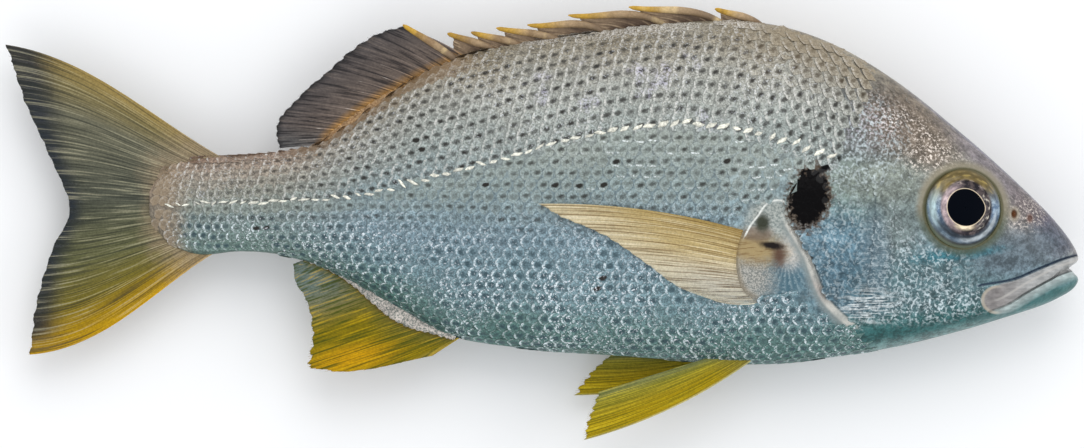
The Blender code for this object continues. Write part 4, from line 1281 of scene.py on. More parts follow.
def scattered(name, seeds, shape_mesh, finish, variation=0.03):
    """A piece made of one small shape laid on every seed."""
    shape = bpy.data.objects.new(name + "_shape", shape_mesh)
    bpy.context.scene.collection.objects.link(shape)
    inputs = {"Shape": shape, "Size variation": variation, "Seed": SEED, "Finish": finish}
    mesh = grown(name, seeds, scatter_tree(), inputs)
    bpy.data.objects.remove(shape)
    return add_piece(name, mesh, finish)


def scale_mesh(name, along, across, lift, rounding, skirt=0.00004):
    """One scale of unit size: its root hidden under the scale ahead, and its free rim raised a little."""
    points, uv = [], []
    for i in range(along + 1):
        for j in range(across + 1):
            u, v = i / along, j / across
            side = 2 * v - 1
            x = -SCALE_HIDDEN + u * (1 + SCALE_HIDDEN - rounding * side**2)
            z = lift * (u - 0.35) - 0.5 * lift * side**2
            points.append((x, SCALE_HALF_WIDTH * side, z))
            uv.append((u, v))
    faces = grid_faces(along + 1, across + 1, flip=True)
    rim = [i * (across + 1) for i in range(along + 1)]
    rim += [along * (across + 1) + j for j in range(1, across + 1)]
    rim += [i * (across + 1) + across for i in range(along - 1, -1, -1)]
    start = len(points)
    for drop in (0.0, skirt):
        for k in rim:
            x, y, z = points[k]
            points.append((x, y, z - drop))
            uv.append(uv[k])
    for k in range(start, start + len(rim) - 1):
        faces.append((k, k + 1, k + 1 + len(rim), k + len(rim)))
    mesh = new_mesh(name, points, faces)
    if sum(polygon.normal.z for polygon in mesh.polygons) < 0:
        mesh.flip_normals()
    layer = mesh.uv_layers.new(name="scale_uv")
    for loop in mesh.loops:
        layer.data[loop.index].uv = uv[loop.vertex_index]
    return mesh


def pitch_at(x):
    """Distance from scale to scale along a row."""
    return np.interp(x, *PITCHES)


def columns_between(low, high, offset):
    """x of the scales of one row, whose distances follow pitch_at."""
    fine = np.linspace(low, high, 800)
    count = np.concatenate([[0.0], np.cumsum(np.diff(fine) / pitch_at(fine[:-1]))])
    wanted = np.arange(offset % 1.0, count[-1], 1.0)
    return np.interp(wanted, count, fine)


def flank_rows(flank, rng, upper):
    """Seeds of the scales above or below the lateral line: point, turn, size, and rise, spot and shade."""
    found = []
    for k in UPPER_ROWS if upper else LOWER_ROWS:
        x = columns_between(*SCALE_SPAN, (UPPER_SHIFT if upper else LOWER_SHIFT) * k)
        line = flank.run_at(x, np.interp(x, *LATERAL_CURVE.T))
        if upper:
            spacing = np.interp(x, *UPPER_SPACINGS)
            run = line + k * spacing
        else:
            spacing = np.interp(x, *LOWER_SPACINGS)
            run = flank.run_at(x, np.full(len(x), LEVEL_ROWS_FROM_Y)) + k * spacing
            spacing = np.where(run < line - ROW_CLEARANCE * spacing, spacing, 0.0)
        total = np.interp(x, flank.x, flank.total)
        keep = (run > BARE_BELLY) & (run < total - np.interp(x, *BARE_RIDGES)) & (spacing > 0)
        x, run, spacing = x[keep], run[keep], spacing[keep]
        lying = np.interp(total[keep] - run, *LYING_NEAR_RIDGE)
        if not len(x):
            continue
        run = run + rng.normal(0.0, SCALE_JITTER_UP, len(x))
        centre, turn = flank.turns(x + rng.normal(0.0, SCALE_JITTER_ALONG, len(x)), run)
        behind = distance_to(SCALES_END_AT, centre[:, 0], centre[:, 1]) < UNDER_GILL_COVER
        keep = behind & (inside_outline(BARE_OUTLINE, centre[:, 0], centre[:, 1]) < 0.0)
        size = np.stack([pitch_at(x), spacing, lying], 1)
        rise = rise_at(centre)
        if upper:
            spot = np.interp(centre[:, 0], *UPPER_SPOTS) * np.interp(rise, *SPOTS_NEAR_RIDGE)
            spot = spot * rng.uniform(0.45, 1.0, len(x)) ** 0.6
        else:
            upward = smooth_step((centre[:, 1] - LOWER_SPOTS_FROM_Y) / LOWER_SPOTS_FADE)
            spot = 0.15 + 0.75 * upward * rng.uniform(0.0, 1.0, len(x)) ** 0.7
            spot = spot * np.interp(centre[:, 0], *LOWER_SPOTS)
        for spot_x, spot_y in BIG_SPOTS:
            near = np.hypot(centre[:, 0] - spot_x, centre[:, 1] - spot_y)
            spot = np.where(near < BIG_SPOT_REACH, BIG_SPOT_STRENGTH, spot)
        place = np.stack([rise, spot, rng.normal(1.0, 0.05, len(x))], 1)
        found.append([part[keep] for part in (centre, turn, size, place)])
    return found


def seed_mesh(name, found):
    """Points that carry the turn, size and place of what grows on them, from groups of all four."""
    centre, turn, size, place = (np.concatenate(group) for group in zip(*found))
    mesh = new_mesh(name, centre)
    for label, values in (("turn", turn), ("size", size), ("scale_place", place)):
        add_attribute(mesh, label, values)
    return mesh


def build_flank_scales(shape, colours):
    """Rows of overlapping scales on both flanks: straight-edged above the lateral line, round below it."""
    rng = np.random.default_rng(SEED)
    right, left = (Flank(side, shape.eye_radius) for side in (1, -1))
    for name, upper, rounding in (("back_scales", True, 0.16), ("flank_scales", False, 0.42)):
        seeds = seed_mesh(name + "_seeds", flank_rows(right, rng, upper) + flank_rows(left, rng, upper))
        single = scale_mesh("scale", 3, 5, shape.scale_lift, rounding)
        scattered(name, seeds, single, scale_finish(name, upper, colours))


def bare_of_small_scales(x, y, eye_radius):
    """Where the head has no fine scales: near its edges, the eye, the blotch and the cheek's fold."""
    back, belly, _ = section_at(x)
    bare = (y >= back - SMALL_FROM_BACK) | (y <= belly + SMALL_FROM_BELLY)
    bare |= np.abs(distance_to(CHEEK_CURVE, x, y)) <= SMALL_FROM_FOLD
    bare |= distance_to(SCALES_END_AT, x, y) <= SMALL_FROM_COVER
    bare |= np.hypot(x - EYE_CENTRE[0], y - EYE_CENTRE[1]) <= eye_radius + SMALL_FROM_EYE
    off_x, off_y = x - BLOTCH_CENTRE[0], y - BLOTCH_CENTRE[1]
    return bare | (np.hypot(off_x / BLOTCH_CLEARING[0], off_y / BLOTCH_CLEARING[1]) <= 1.0)


def build_small_scales(shape, colours):
    """Finer scales on the nape, the gill cover and the cheek, on both sides."""
    rng = np.random.default_rng(SEED + 1)
    found = []
    for side in (1, -1):
        flank = Flank(side, shape.eye_radius)
        for low, high, pitch, spacing, shade in SMALL_ZONES:
            for number, height in enumerate(np.arange(low[1], high[1], spacing)):
                x = np.arange(low[0] + 0.5 * pitch * (number % 2), high[0], pitch) / 1000
                x = x + rng.normal(0.0, SCALE_JITTER_UP, len(x))
                y = np.full(len(x), height / 1000) + rng.normal(0.0, SCALE_JITTER_ALONG, len(x))
                keep = ~bare_of_small_scales(x, y, shape.eye_radius)
                x, y = x[keep], y[keep]
                if not len(x):
                    continue
                centre, turn = flank.turns(x, flank.run_at(x, y))
                size = np.tile((pitch / 1000, spacing / 1000, SMALL_SCALE_LYING), (len(x), 1))
                place = np.stack([rise_at(centre), np.zeros(len(x)), rng.normal(shade, 0.07, len(x))], 1)
                found.append((centre, turn, size, place))
    single = scale_mesh("small_scale", 2, 3, shape.scale_lift, 0.4)
    scattered("small_scales", seed_mesh("small_seeds", found), single, small_scale_finish(colours), 0.12)


def small_scale_finish(colours):
    """Thin scales of the head: pale rims on the skin's own colours."""
    finish = Finish("small_scales", SCALE_SETTINGS)
    along = finish.parts(finish.add("ShaderNodeUVMap", {"uv_map": "scale_uv"}))[0]
    rise, _, shade = finish.parts(finish.vector("scale_place"))
    grain, _ = lay_head_tone(finish, rise)
    finish.shade(shade)
    rim = finish.smooth(along + (finish.noise(0.9, 2.0) - 0.5) * 0.4, 0.76, 0.92)
    rim = rim * finish.smooth(grain, 0.42, 0.58)
    finish.lay((210, 220, 222), rim * (finish.patches(0.16, 3.0, 0.40, 0.60) * 0.4 + 0.04))
    lay_blotch(finish, colours)
    return finish.done(Roughness=grain * 0.35 + 0.24, Normal=finish.bump(grain, 0.0001))


def dash_mesh(name, sides=6, steps=4):
    """A small low dash: thick in the middle, with its ends bent a little to opposite sides."""
    rings = []
    for i in range(steps + 1):
        share = i / steps
        radius = 0.5 * np.sin(np.pi * (0.06 + 0.88 * share)) ** 0.7
        angle = np.linspace(0.0, 2 * np.pi, sides, endpoint=False)
        bend = 0.35 * (share - 0.5) ** 3 * 8
        middle, out, up = np.full(sides, share - 0.5), radius * np.cos(angle) + bend, radius * np.sin(angle)
        rings.append(np.stack([middle, out, up], 1))
    return closed_loft(name, np.array(rings))


def pore_finish(colours):
    """The pale marks of the lateral line."""
    finish = Finish("lateral_line", {"Coat Weight": 0.2, "Coat Roughness": 0.15})
    shade = finish.parts(finish.vector("scale_place"))[2]
    grain = finish.noise(1.4, 3.0, roughness=0.7)
    finish.base = finish.scaled(colours.pores, shade * finish.contrast(grain, 0.36, 0.64, 0.6, 1.1))
    return finish.done(Roughness=grain * 0.3 + 0.3)


def build_lateral_line(shape, colours):
    """Pale pores in a line from the gill cover to the tail, one on each scale of that row."""
    rng = np.random.default_rng(SEED + 2)
    found = []
    for side in (1, -1):
        flank = Flank(side, shape.eye_radius)
        x = columns_between(*PORE_SPAN, 0.0)
        run = flank.run_at(x, np.interp(x, *LATERAL_CURVE.T)) + rng.normal(0.0, PORE_JITTER_UP, len(x))
        centre, turn = flank.turns(x + rng.normal(PORE_BEHIND, PORE_JITTER_ALONG, len(x)), run)
        centre[:, 2] += np.sign(centre[:, 2]) * PORE_LIFT
        turn[:, 2] += rng.normal(0.12, 0.28, len(x))
        thick = np.interp(x, *PORE_WIDTHS) * rng.uniform(0.9, 1.5, len(x))
        size = np.stack([pitch_at(x) * rng.uniform(0.65, 1.1, len(x)), thick, thick * 0.3], 1)
        place = np.stack([rise_at(centre), np.zeros(len(x)), rng.uniform(0.85, 1.1, len(x))], 1)
        found.append((centre, turn, size, place))
    scattered("lateral_line", seed_mesh("pore_seeds", found), dash_mesh("pore"), pore_finish(colours), 0.15)


# The eye: its profile by distance from the centre, and the coats of its iris and of the ring round that.
EYE_FLATNESS = 0.86
EYE_POWER = 2.4
EYE_RIM_DROP = 0.0010
EYE_GROOVE = 0.00014
EYE_GROOVE_AT = 0.69
EYE_GROOVE_WIDTH = 0.03
EYE_ROUND = 96
EYE_STEPS = 44
EYE_SHARES = np.concatenate([np.linspace(0.012, 1.0, EYE_STEPS), [1.0, 0.9]])
EYE_DROPS = np.concatenate([np.zeros(EYE_STEPS), [0.0016, 0.0030]])
IRIS_COATS = (
    ((150, 136, 126), 0.8, "up", "lit", ("r", 8.0, 1.3, 0.4)),
    ((206, 184, 186), 1.0, "left", "swirl", ("r", 8.8, 6.8)),
    # Painted highlight: a cream crescent low on the iris, just round the pupil.
    ((236, 218, 186), 0.95, "low", ("cos", -0.05, 0.62, 0.25), ("r", 7.3, 6.2)),
    ((198, 192, 176), 0.9, "right", "lit", ("r", 7.2, 1.0, 0.3)),
)
EYE_RING_COATS = (
    ((176, 198, 198), 0.8, "left", "not_low", ("r", 9.9, 1.4, 0.5)),
    ((52, 64, 76), 0.6, "low"),
    ((112, 94, 46), 0.95, "up"),
    ((156, 136, 78), 0.7, "up", "lit", ("r", 10.2, 1.2, 0.2)),
    ((40, 48, 56), 0.9, "low", ("r", 8.6, 1.4, 0.5)),
    ((176, 184, 188), 0.85, "moon", ("r", 9.8, 0.9, 0.25)),
    ((52, 54, 48), 0.9, "low", ("r", 10.2, 11.0)),
)


def eye_seat(radius):
    """Where the shown eye sits and which way it looks."""
    x, y = EYE_CENTRE
    ahead, after = half_thickness(x + radius, y), half_thickness(x - radius, y)
    above, below = half_thickness(x, y + radius), half_thickness(x, y - radius)
    square = Vector(((after - ahead) / (2 * radius), (below - above) / (2 * radius), 1.0)).normalized()
    return Vector((x, y, (ahead + after + above + below) / 4)), square


def eye_profile(share):
    """Height of the eyeball by distance from its centre, as a share of its radius."""
    dome = EYE_STANDS_OUT * np.sqrt(np.clip(1.0 - EYE_FLATNESS * share**EYE_POWER, 0.0, 1.0))
    return dome - EYE_RIM_DROP * share**8 - EYE_GROOVE * ridge_of(share - EYE_GROOVE_AT, EYE_GROOVE_WIDTH)


def build_eyes(shape, colours):
    """Both eyes: a dark lens in a gold rim, a metallic iris, and the pale ring round it."""
    seat, square = eye_seat(shape.eye_radius)
    turn = np.array(Vector((0.0, 0.0, 1.0)).rotation_difference(square).to_matrix())
    angle = np.linspace(0.0, 2 * np.pi, EYE_ROUND, endpoint=False)
    rows, marks = [], []
    for share, drop in zip(EYE_SHARES, EYE_DROPS):
        r = share * shape.eye_radius
        flat = [r * np.cos(angle), r * np.sin(angle)]
        local = np.stack([*flat, np.full(EYE_ROUND, eye_profile(share) - drop)], 1)
        rows.append(local @ turn.T + np.array(seat))
        marks.append(np.stack([*flat, np.full(EYE_ROUND, r)], 1) * 1000)
    finish = eye_finish(colours)
    for name, side in (("eye_shown", 1), ("eye_under", -1)):
        mesh = closed_loft(name, np.array(rows) * (1.0, 1.0, side))
        add_attribute(mesh, "eye_place", np.array(marks).reshape(-1, 3))
        add_piece(name, mesh, finish)


def eye_finish(colours):
    """Lens, iris and ring by the distance r from the eye's centre, in millimetres, and the way round it."""
    settings = {"Coat Weight": 0.3, "Coat Roughness": 0.03, "Roughness": 0.35, "Specular IOR Level": 0.03}
    finish = Finish("eye", settings)
    x, y, r = finish.parts(finish.vector("eye_place"))
    cos, sin = x / r.most(0.01), y / r.most(0.01)
    up, low = finish.smooth(sin, 0.0, 0.8), finish.smooth(sin, -0.1, -0.85)
    left = finish.smooth(cos, 0.1, -0.9)
    swirl = finish.noise(0.5, 4.0, roughness=0.65)
    way = finish.add("ShaderNodeCombineXYZ", values={0: sin * 4.0, 1: r * 1.1, 2: cos * 4.0})
    streaks = finish.noise(1.0, 3.0, vector=way)
    given = {
        "r": r,
        "cos": cos,
        "up": up,
        "low": low,
        "left": left,
        "right": finish.smooth(cos, 0.25, 0.95),
        "not_low": 1.0 - low * 0.8,
        "lit": finish.smooth(streaks, 0.50, 0.66),
        "swirl": (swirl * 1.2).least(1.0),
        "moon": finish.smooth(sin * 0.8 - cos * 0.6, -0.55, -0.95),
    }
    finish.base = finish.mix(tone(34, 30, 36), tone(104, 92, 90), finish.smooth(swirl, 0.46, 0.62) * 0.7)
    finish.lay_all(IRIS_COATS, **given)
    iris = finish.base
    finish.base = finish.mix(tone(92, 114, 138), tone(150, 170, 186), finish.smooth(swirl, 0.44, 0.62))
    finish.lay_all(EYE_RING_COATS, **given)
    finish.base = finish.mix(iris, finish.base, finish.smooth(r + left * 0.8, 8.0, 9.0))
    finish.shade(finish.contrast(streaks, 0.35, 0.65, 0.72, 1.24))
    rim = finish.mix(tone(92, 100, 82), tone(84, 74, 40), up)
    finish.lay(rim, finish.smooth(r, 10.9, 11.7))
    point = (y.math("ARCTAN2", x) + 0.05).math("COSINE").most(0.0) ** 10.0
    inner = r - point * 0.55
    finish.lay((*colours.eye_rim, 1.0), finish.near(inner, 5.72, 0.17, 0.05) * 0.8)
    finish.lay((*colours.pupil, 1.0), finish.smooth(inner, 5.66, 5.50))
    metal = finish.smooth(inner, 5.7, 6.2) * finish.smooth(r, 11.5, 10.0) * 0.3
    return finish.done(Metallic=metal, Coat_Weight=finish.smooth(inner, 5.5, 5.9) * 0.4)


def joined(name, meshes, attribute):
    """One mesh out of several, with one vector attribute that they all have."""
    points, faces, marks, start = [], [], [], 0
    for mesh in meshes:
        points.append(mesh_points(mesh))
        faces += [tuple(start + k for k in polygon.vertices) for polygon in mesh.polygons]
        values = np.empty(len(mesh.vertices) * 3, np.float32)
        mesh.attributes[attribute].data.foreach_get("vector", values)
        marks.append(values.reshape(-1, 3))
        start += len(mesh.vertices)
    whole = new_mesh(name, np.concatenate(points), faces)
    add_attribute(whole, attribute, np.concatenate(marks))
    return whole


class Fin:
    """A fan of rays between a line of roots and a line of tips, bowed in its own plane."""

    # How strongly a ray is bowed along its length, by where its bow is deepest: towards root, middle or tip.
    ARCHES = {
        -1: lambda held, v: 6.75 * held * (1 - v) ** 2,
        1: lambda held, v: 4.0 * held * (1 - v),
        2: lambda held, v: 6.75 * held**2 * (1 - v),
    }

    def __init__(self, roots, tips, bows, rays, depth_rule=None, paired=False, skew=1):
        self.rays = rays
        self.fine = 24 * rays + 1
        draw = spline if paired else even_curve
        self.root = draw(roots, self.fine)
        self.tip = draw(tips, self.fine)
        self.bow = np.interp(np.linspace(0, 1, self.fine), np.linspace(0, 1, len(bows)), bows)
        self.depth_rule = depth_rule or (lambda x, y, off: off)
        self.arch = self.ARCHES[skew]

    def flat(self, u, v):
        """The point in the side view at a share u across the fin and v along its rays."""
        across = np.linspace(0.0, 1.0, self.fine)
        root = np.stack([np.interp(u, across, self.root[:, k]) for k in range(2)], -1)
        tip = np.stack([np.interp(u, across, self.tip[:, k]) for k in range(2)], -1)
        span = tip - root
        length = np.linalg.norm(span, axis=-1)[..., None]
        sideways = np.stack([-span[..., 1], span[..., 0]], -1) / length
        v = np.asarray(v, float)
        arch = np.interp(u, across, self.bow) * self.arch(np.clip(v, 0.0, 1.0), v)
        return root + span * v[..., None] - sideways * arch[..., None]

    def at(self, u, v, off=0.0):
        """The same with its depth, off metres to the outer side of the fin's own sheet."""
        flat = self.flat(u, v)
        off = np.broadcast_to(off, flat.shape[:-1])
        return np.concatenate([flat, self.depth_rule(flat[..., 0], flat[..., 1], off)[..., None]], -1)

    def membrane(self, name, web, ridge, steps=40, per_ray=10, ragged=0.012, seed=0, from_v=-ROOT_OVERLAP):
        """The thin sheet between the rays, a little wavy, with a ragged free edge."""
        rng = np.random.default_rng(SEED + seed)
        columns = self.rays * per_ray + 1
        u = np.linspace(0.0, 1.0, columns)
        beat = np.abs(np.cos(np.pi * u * self.rays)) ** 1.5
        coarse = rng.uniform(0.0, 1.0, columns // 6 + 2).repeat(6)[:columns]
        fringe = rng.uniform(0.0, 1.0, columns) * 0.6 + coarse * 0.4
        reach = 1.0 - ragged * (fringe + 0.8 * (1 - beat))
        v = np.linspace(from_v, 1.0, steps)[:, None]
        grid_v = v * np.where(v > 0.5, 1 + (reach - 1) * (v - 0.5) * 2, 1.0)
        grid_u = np.broadcast_to(u, grid_v.shape)
        share = np.clip(v, 0.0, 1.0)
        fork = smooth_step((share - 0.45) / 0.2)
        twin = np.abs(np.cos(2 * np.pi * grid_u * self.rays)) ** 1.5
        wave = beat * (1 - fork) + twin * fork
        half = (web + ridge * wave * (1 - 0.6 * share)) * (1 - 0.55 * share)
        half = half * np.where(share > 0.985, 0.4, 1.0)
        mesh = closed_sheet(name, self.at(grid_u, grid_v, half), self.at(grid_u, grid_v, -half))
        marks = np.stack([grid_u, grid_v, wave], -1).reshape(-1, 3)
        add_attribute(mesh, "fin_place", np.concatenate([marks, marks]))
        return mesh

    def lines(
        self, name, thick, forks=(0.42, 0.72), spread=1.0, points=9, seed=0, from_v=-ROOT_OVERLAP, blunt=False
    ):
        """Rays as drawn lines that fork towards the margin, or blunt spines, with their width and place."""
        taper = (0.8, 1.0, 0.55, 0.15) if blunt else (1.0, 0.55, 0.25, 0.08)
        rng = np.random.default_rng(SEED + 50 + seed)
        stops = (from_v, *forks, 1.0)
        offsets = [(0.0,), (-0.25, 0.25), (-0.375, -0.125, 0.125, 0.375)][: len(stops) - 1]
        share = np.linspace(0.0, 1.0, points)
        us, vs, wide, edges = [], [], [], []
        for ray in range(self.rays + 1):
            stretch = 1.0 + rng.normal(0.0, 0.006)
            for level, group in enumerate(offsets):
                end = stops[level + 1] * (stretch if level == len(offsets) - 1 else 1.0)
                for number, offset in enumerate(group):
                    came_from = offsets[level - 1][number // 2] if level else 0.0
                    v = stops[level] + (end - stops[level]) * share
                    drift = came_from + (offset - came_from) * smooth_step(share * 1.6)
                    start = len(us) * points
                    edges += [(start + k, start + k + 1) for k in range(points - 1)]
                    us.append(np.clip((ray + spread * drift) / self.rays, 0.0, 1.0))
                    vs.append(v)
                    wide.append(thick * np.interp(v, (0.0, 0.5, 0.95, 1.0), taper) / (1 + 0.25 * level))
        u, v = np.concatenate(us), np.concatenate(vs)
        mesh = new_mesh(name, self.at(u, v), edges=edges)
        add_attribute(mesh, "width", np.concatenate(wide))
        add_attribute(mesh, "fin_place", np.stack([u, v, np.ones(len(u))], 1))
        return mesh


# The fins' paints: a ground, which is a colour or a ramp, and then coats. u goes from the first ray to the
# last and v from the root to the tip.
FIN_PAINTS = {
    "tail": (
        ("u", (0.00, (150, 128, 72)), (0.09, (126, 114, 74)), (0.20, (104, 102, 84)), (0.50, (80, 82, 70)),
         (0.72, (94, 94, 60)), (0.86, (116, 104, 34)), (0.94, (156, 124, 10)), (1.00, (188, 146, 4))),
        ((150, 132, 106), 0.85, ("root_v", 0.36, 0.08)),
        ((26, 34, 46), 0.9, ("margin_v", 0.80, 0.98), ("u", 1.0, 0.92)),
    ),
    "back_fin": (
        ("v", (0.0, (150, 112, 62)), (0.16, (100, 88, 80)), (1.0, (74, 70, 70))),
        ((84, 90, 92), 0.5, ("u", 0.75, 1.0)),
        ((30, 31, 32), 0.8, ("v", 0.84, 1.0)),
    ),
    "spines": (
        (116, 98, 80),
        ((178, 152, 118), 1.0, ("v", 0.05, 0.6)),
        ((192, 152, 60), 1.0, ("v", 0.50, 0.88)),
    ),
    # The web's dark ground at its root on the body and at its free edge under the spines is painted shade;
    # between them lies its own lighter colour.
    "web": (
        (84, 68, 56),
        ((134, 114, 92), 1.0, ("v", 0.1, 0.9)),
    ),
    "vent_fin": (
        (122, 106, 4),
        ((190, 142, 2), 1.0, ((-57.0, -41.0), (12.0, 3.6), 0.8, 0.3, 0.2)),
        ((98, 112, 106), 1.0, ("u", 0.50, 0.84)),
        ((96, 92, 40), 0.7, ("v", 0.35, 0.0)),
        ((88, 72, 30), 0.8, ("v", 0.07, 0.0)),
        ((186, 160, 70), 0.6, ("u", 0.05, 0.0)),
    ),
    "pectoral": (
        (190, 168, 116),
        ((216, 210, 192), 1.0, ("u", 0.35, 0.80)),
        ((226, 214, 182), 0.6, ("v", 0.55, 1.0)),
        ((156, 130, 70), 0.8, ("u", 0.24, 0.0), ("v", 0.9, 0.3)),
        ((160, 128, 72), 0.8, ("v", 0.26, 0.06), ("u", 0.75, 0.4)),
        ((200, 194, 180), 0.8, ("v", 0.26, 0.06), ("u", 0.4, 0.7)),
    ),
    "pelvic": (
        (158, 132, 2),
        ((136, 128, 40), 1.0, ("u", 0.25, 0.85)),
        ((104, 116, 92), 0.6, ("u", 0.7, 1.0)),
        ((116, 114, 64), 0.7, ("v", 0.25, 0.0)),
        ((200, 190, 130), 0.8, ("u", 0.045, 0.0)),
    ),
}


def lay_fin_paint(finish, paint, u, v):
    """Lays one of the fins' paints; the tail's root and margin have ragged edges."""
    ground, *coats = FIN_PAINTS[paint]
    given = {"u": u, "v": v}
    if paint == "tail":
        given["root_v"] = v + (finish.noise(0.5, 3.0) - 0.5) * 0.16
        wide = finish.smooth(u, 0.5, 0.0) * 0.06 + (finish.noise(0.2, 3.0) - 0.5) * 0.06
        given["margin_v"] = v + wide
    finish.base = finish.ramp(given[ground[0]], ground[1:]) if ground[0] in given else tone(*ground)
    finish.lay_all(coats, **given)


def fin_finish(name, paint, dark, light, strength=(0.6, 0.5), streaks=(110.0, 2.5), alpha=None, lit=1.0):
    """A fin's finish: its paint, with fine dark and light streaks along the rays."""
    settings = {"Coat Weight": 0.03, "Coat Roughness": 0.2, "Roughness": 0.5, "Specular IOR Level": 0.1}
    finish = Finish(name, settings)
    u, v, wave = finish.parts(finish.vector("fin_place"))
    lines = finish.add("ShaderNodeCombineXYZ", values={0: u * streaks[0], 1: v * streaks[1]})
    streak = finish.noise(1.0, 2.0, vector=lines, roughness=0.6)
    lay_fin_paint(finish, paint, u, v)
    finish.shade(lit)
    finish.lay(dark, finish.smooth(streak, 0.52, 0.36) * strength[0])
    finish.lay(light, finish.smooth(streak, 0.54, 0.66) * strength[1])
    finish.shade(finish.contrast(finish.noise(1.5, 3.0, roughness=0.7), 0.36, 0.64, 0.86, 1.12))
    links = {"Normal": finish.bump(streak, 0.0001)}
    if alpha:
        links["Alpha"] = alpha(finish, u, v, wave)
    return finish.done(**links)


def build_sheath(name, roots, inset, overlap, dark, light, share):
    """The low strip of scaly, grained skin that runs along the root of a fin."""
    finish = Finish(name, {"Specular IOR Level": 0.3, "Roughness": 0.4, "Coat Weight": 0.1})
    grain = finish.noise(1.7, 3.0, roughness=0.75)
    finish.base = finish.mix(tone(*dark), tone(*light), finish.smooth(grain, 0.40, 0.60) * share)
    finish.shade(finish.contrast(finish.noise(0.4, 3.0), 0.3, 0.7, 0.8, 1.15))
    material = finish.done(Normal=finish.bump(grain, 0.0002))
    strip = Fin(np.array(roots) + inset, np.array(roots) + overlap, (0.0, 0.0), 24, paired=True)
    sheet = strip.membrane(name, SHEATH_THICKNESS, RAY_RIDGE, steps=8, per_ray=6, ragged=0.06, seed=20)
    add_piece(name, sheet, material)


def build_fin(
    name,
    fin,
    finishes,
    sheet,
    web,
    ridge=RAY_RIDGE,
    thick=RAY_THICKNESS,
    seed=0,
    from_v=-ROOT_OVERLAP,
    **drawn,
):
    """A membrane and its rays as two pieces. sheet: steps along and across a ray, and raggedness."""
    finish, ray_finish = finishes
    steps, per_ray, ragged = sheet
    membrane = fin.membrane(name + "_membrane", web, ridge, steps, per_ray, ragged, seed, from_v)
    add_piece(name + "_membrane", membrane, finish)
    lines = fin.lines(name + "_lines", thick, seed=seed, from_v=from_v, **drawn)
    mesh = grown(name, lines, ray_tree(), {"Thickness": 1.0, "Sides": 5, "Finish": ray_finish})
    add_piece(name + "_rays", mesh, ray_finish)


def build_tail(shape, colours):
    """The forked tail fin."""

    def clear(finish, u, v, wave):
        return 1.0 - finish.smooth(v, 0.5, 1.0) * (1.0 - wave) * 0.2

    finishes = (
        fin_finish("tail_membrane", "tail", (42, 46, 40), (196, 190, 158), (0.65, 0.34), (130.0, 1.6), clear),
        fin_finish("tail_rays", "tail", (110, 104, 84), (214, 206, 170), (0.3, 0.5), (120.0, 2.0), lit=1.35),
    )
    fin = Fin(TAIL_ROOTS, TAIL_TIPS, TAIL_BOWS, 17, skew=2)
    build_fin("tail", fin, finishes, (56, 10, 0.009), web=0.00020, seed=1, from_v=-0.12)


def build_back_fins(shape, colours):
    """The soft back fin with its scaly root, and the folded spines ahead of it with the web between them."""
    fin = Fin(BACK_FIN_ROOTS, BACK_FIN_TIPS, BACK_FIN_BOWS, 15, paired=True)
    dark, light = (34, 32, 34), (136, 122, 112)
    finishes = (
        fin_finish("back_fin_membrane", "back_fin", dark, light, (0.8, 0.25), (60.0, 1.6)),
        fin_finish("back_fin_rays", "back_fin", (96, 84, 76), (236, 226, 214), (0.2, 0.8), lit=2.0),
    )
    forked = {"forks": (0.5, 0.8), "spread": 0.8}
    build_fin("back_fin", fin, finishes, (36, 10, 0.025), web=0.00018, seed=2, from_v=-0.25, **forked)
    tones = ((132, 98, 62), (196, 162, 118), 0.7)
    build_sheath("back_sheath", BACK_FIN_ROOTS, BACK_SHEATH_INSET, BACK_SHEATH_OVERLAP, *tones)

    roots, tips = np.array(SPINE_ROOTS) - SPINE_SINK, np.array(SPINE_TIPS)
    last = len(roots) - 1
    shafts = Fin(roots, tips, SPINE_BOWS, last, paired=True, skew=-1)
    panels = []
    for k in range(last):
        top = shafts.flat(np.array([k / last]), np.array([WEB_ENDS_AT]))[0]
        share = np.clip((roots[k + 1][0] - top[0]) / (roots[k + 1][0] - tips[k + 1][0]), 0.0, 1.0)
        below = shafts.flat(np.array([(k + 1) / last]), np.array([share]))[0]
        bows = (SPINE_BOWS[k], SPINE_BOWS[k + 1] * share)
        panel = Fin((roots[k], roots[k + 1] - WEB_SINK), (top, below), bows, 3, skew=-1)
        sheet = panel.membrane("panel", WEB_THICKNESS, RAY_RIDGE, steps=20, per_ray=6, ragged=0.02, seed=k)
        panels.append(sheet)
    web = fin_finish("spine_web", "web", (52, 40, 34), (196, 172, 140), (0.6, 0.5), (9.0, 1.5))
    add_piece("spine_web", joined("spine_web", panels, "fin_place"), web)
    finish = fin_finish("back_spines", "spines", (110, 82, 54), (238, 212, 158), (0.5, 0.5), (60.0, 2.5))
    lines = shafts.lines("spine_lines", SPINE_THICKNESS, forks=(), points=24, blunt=True)
    mesh = grown("back_spines", lines, ray_tree(), {"Thickness": 1.0, "Sides": 10, "Finish": finish})
    add_piece("back_spines", mesh, finish)


def build_vent_fin(shape, colours):
    """The fin behind the vent, yellow below and grey where it meets the tail's root, with its scaly root."""
    dark, light = (62, 72, 10), (214, 176, 14)
    finishes = (
        fin_finish("vent_fin_membrane", "vent_fin", dark, light, (0.85, 0.36), (70.0, 1.4)),
        fin_finish("vent_fin_rays", "vent_fin", (84, 78, 12), (232, 196, 70), (0.4, 0.35), lit=1.1),
    )
    fin = Fin(VENT_FIN_ROOTS, VENT_FIN_TIPS, VENT_FIN_BOWS, 12, paired=True)
    build_fin("vent_fin", fin, finishes, (40, 12, 0.03), web=0.00018, seed=4, from_v=-0.15)
    tones = ((112, 118, 112), (226, 214, 204), 0.8)
    build_sheath("vent_sheath", VENT_FIN_ROOTS, VENT_SHEATH_INSET, VENT_SHEATH_OVERLAP, *tones)


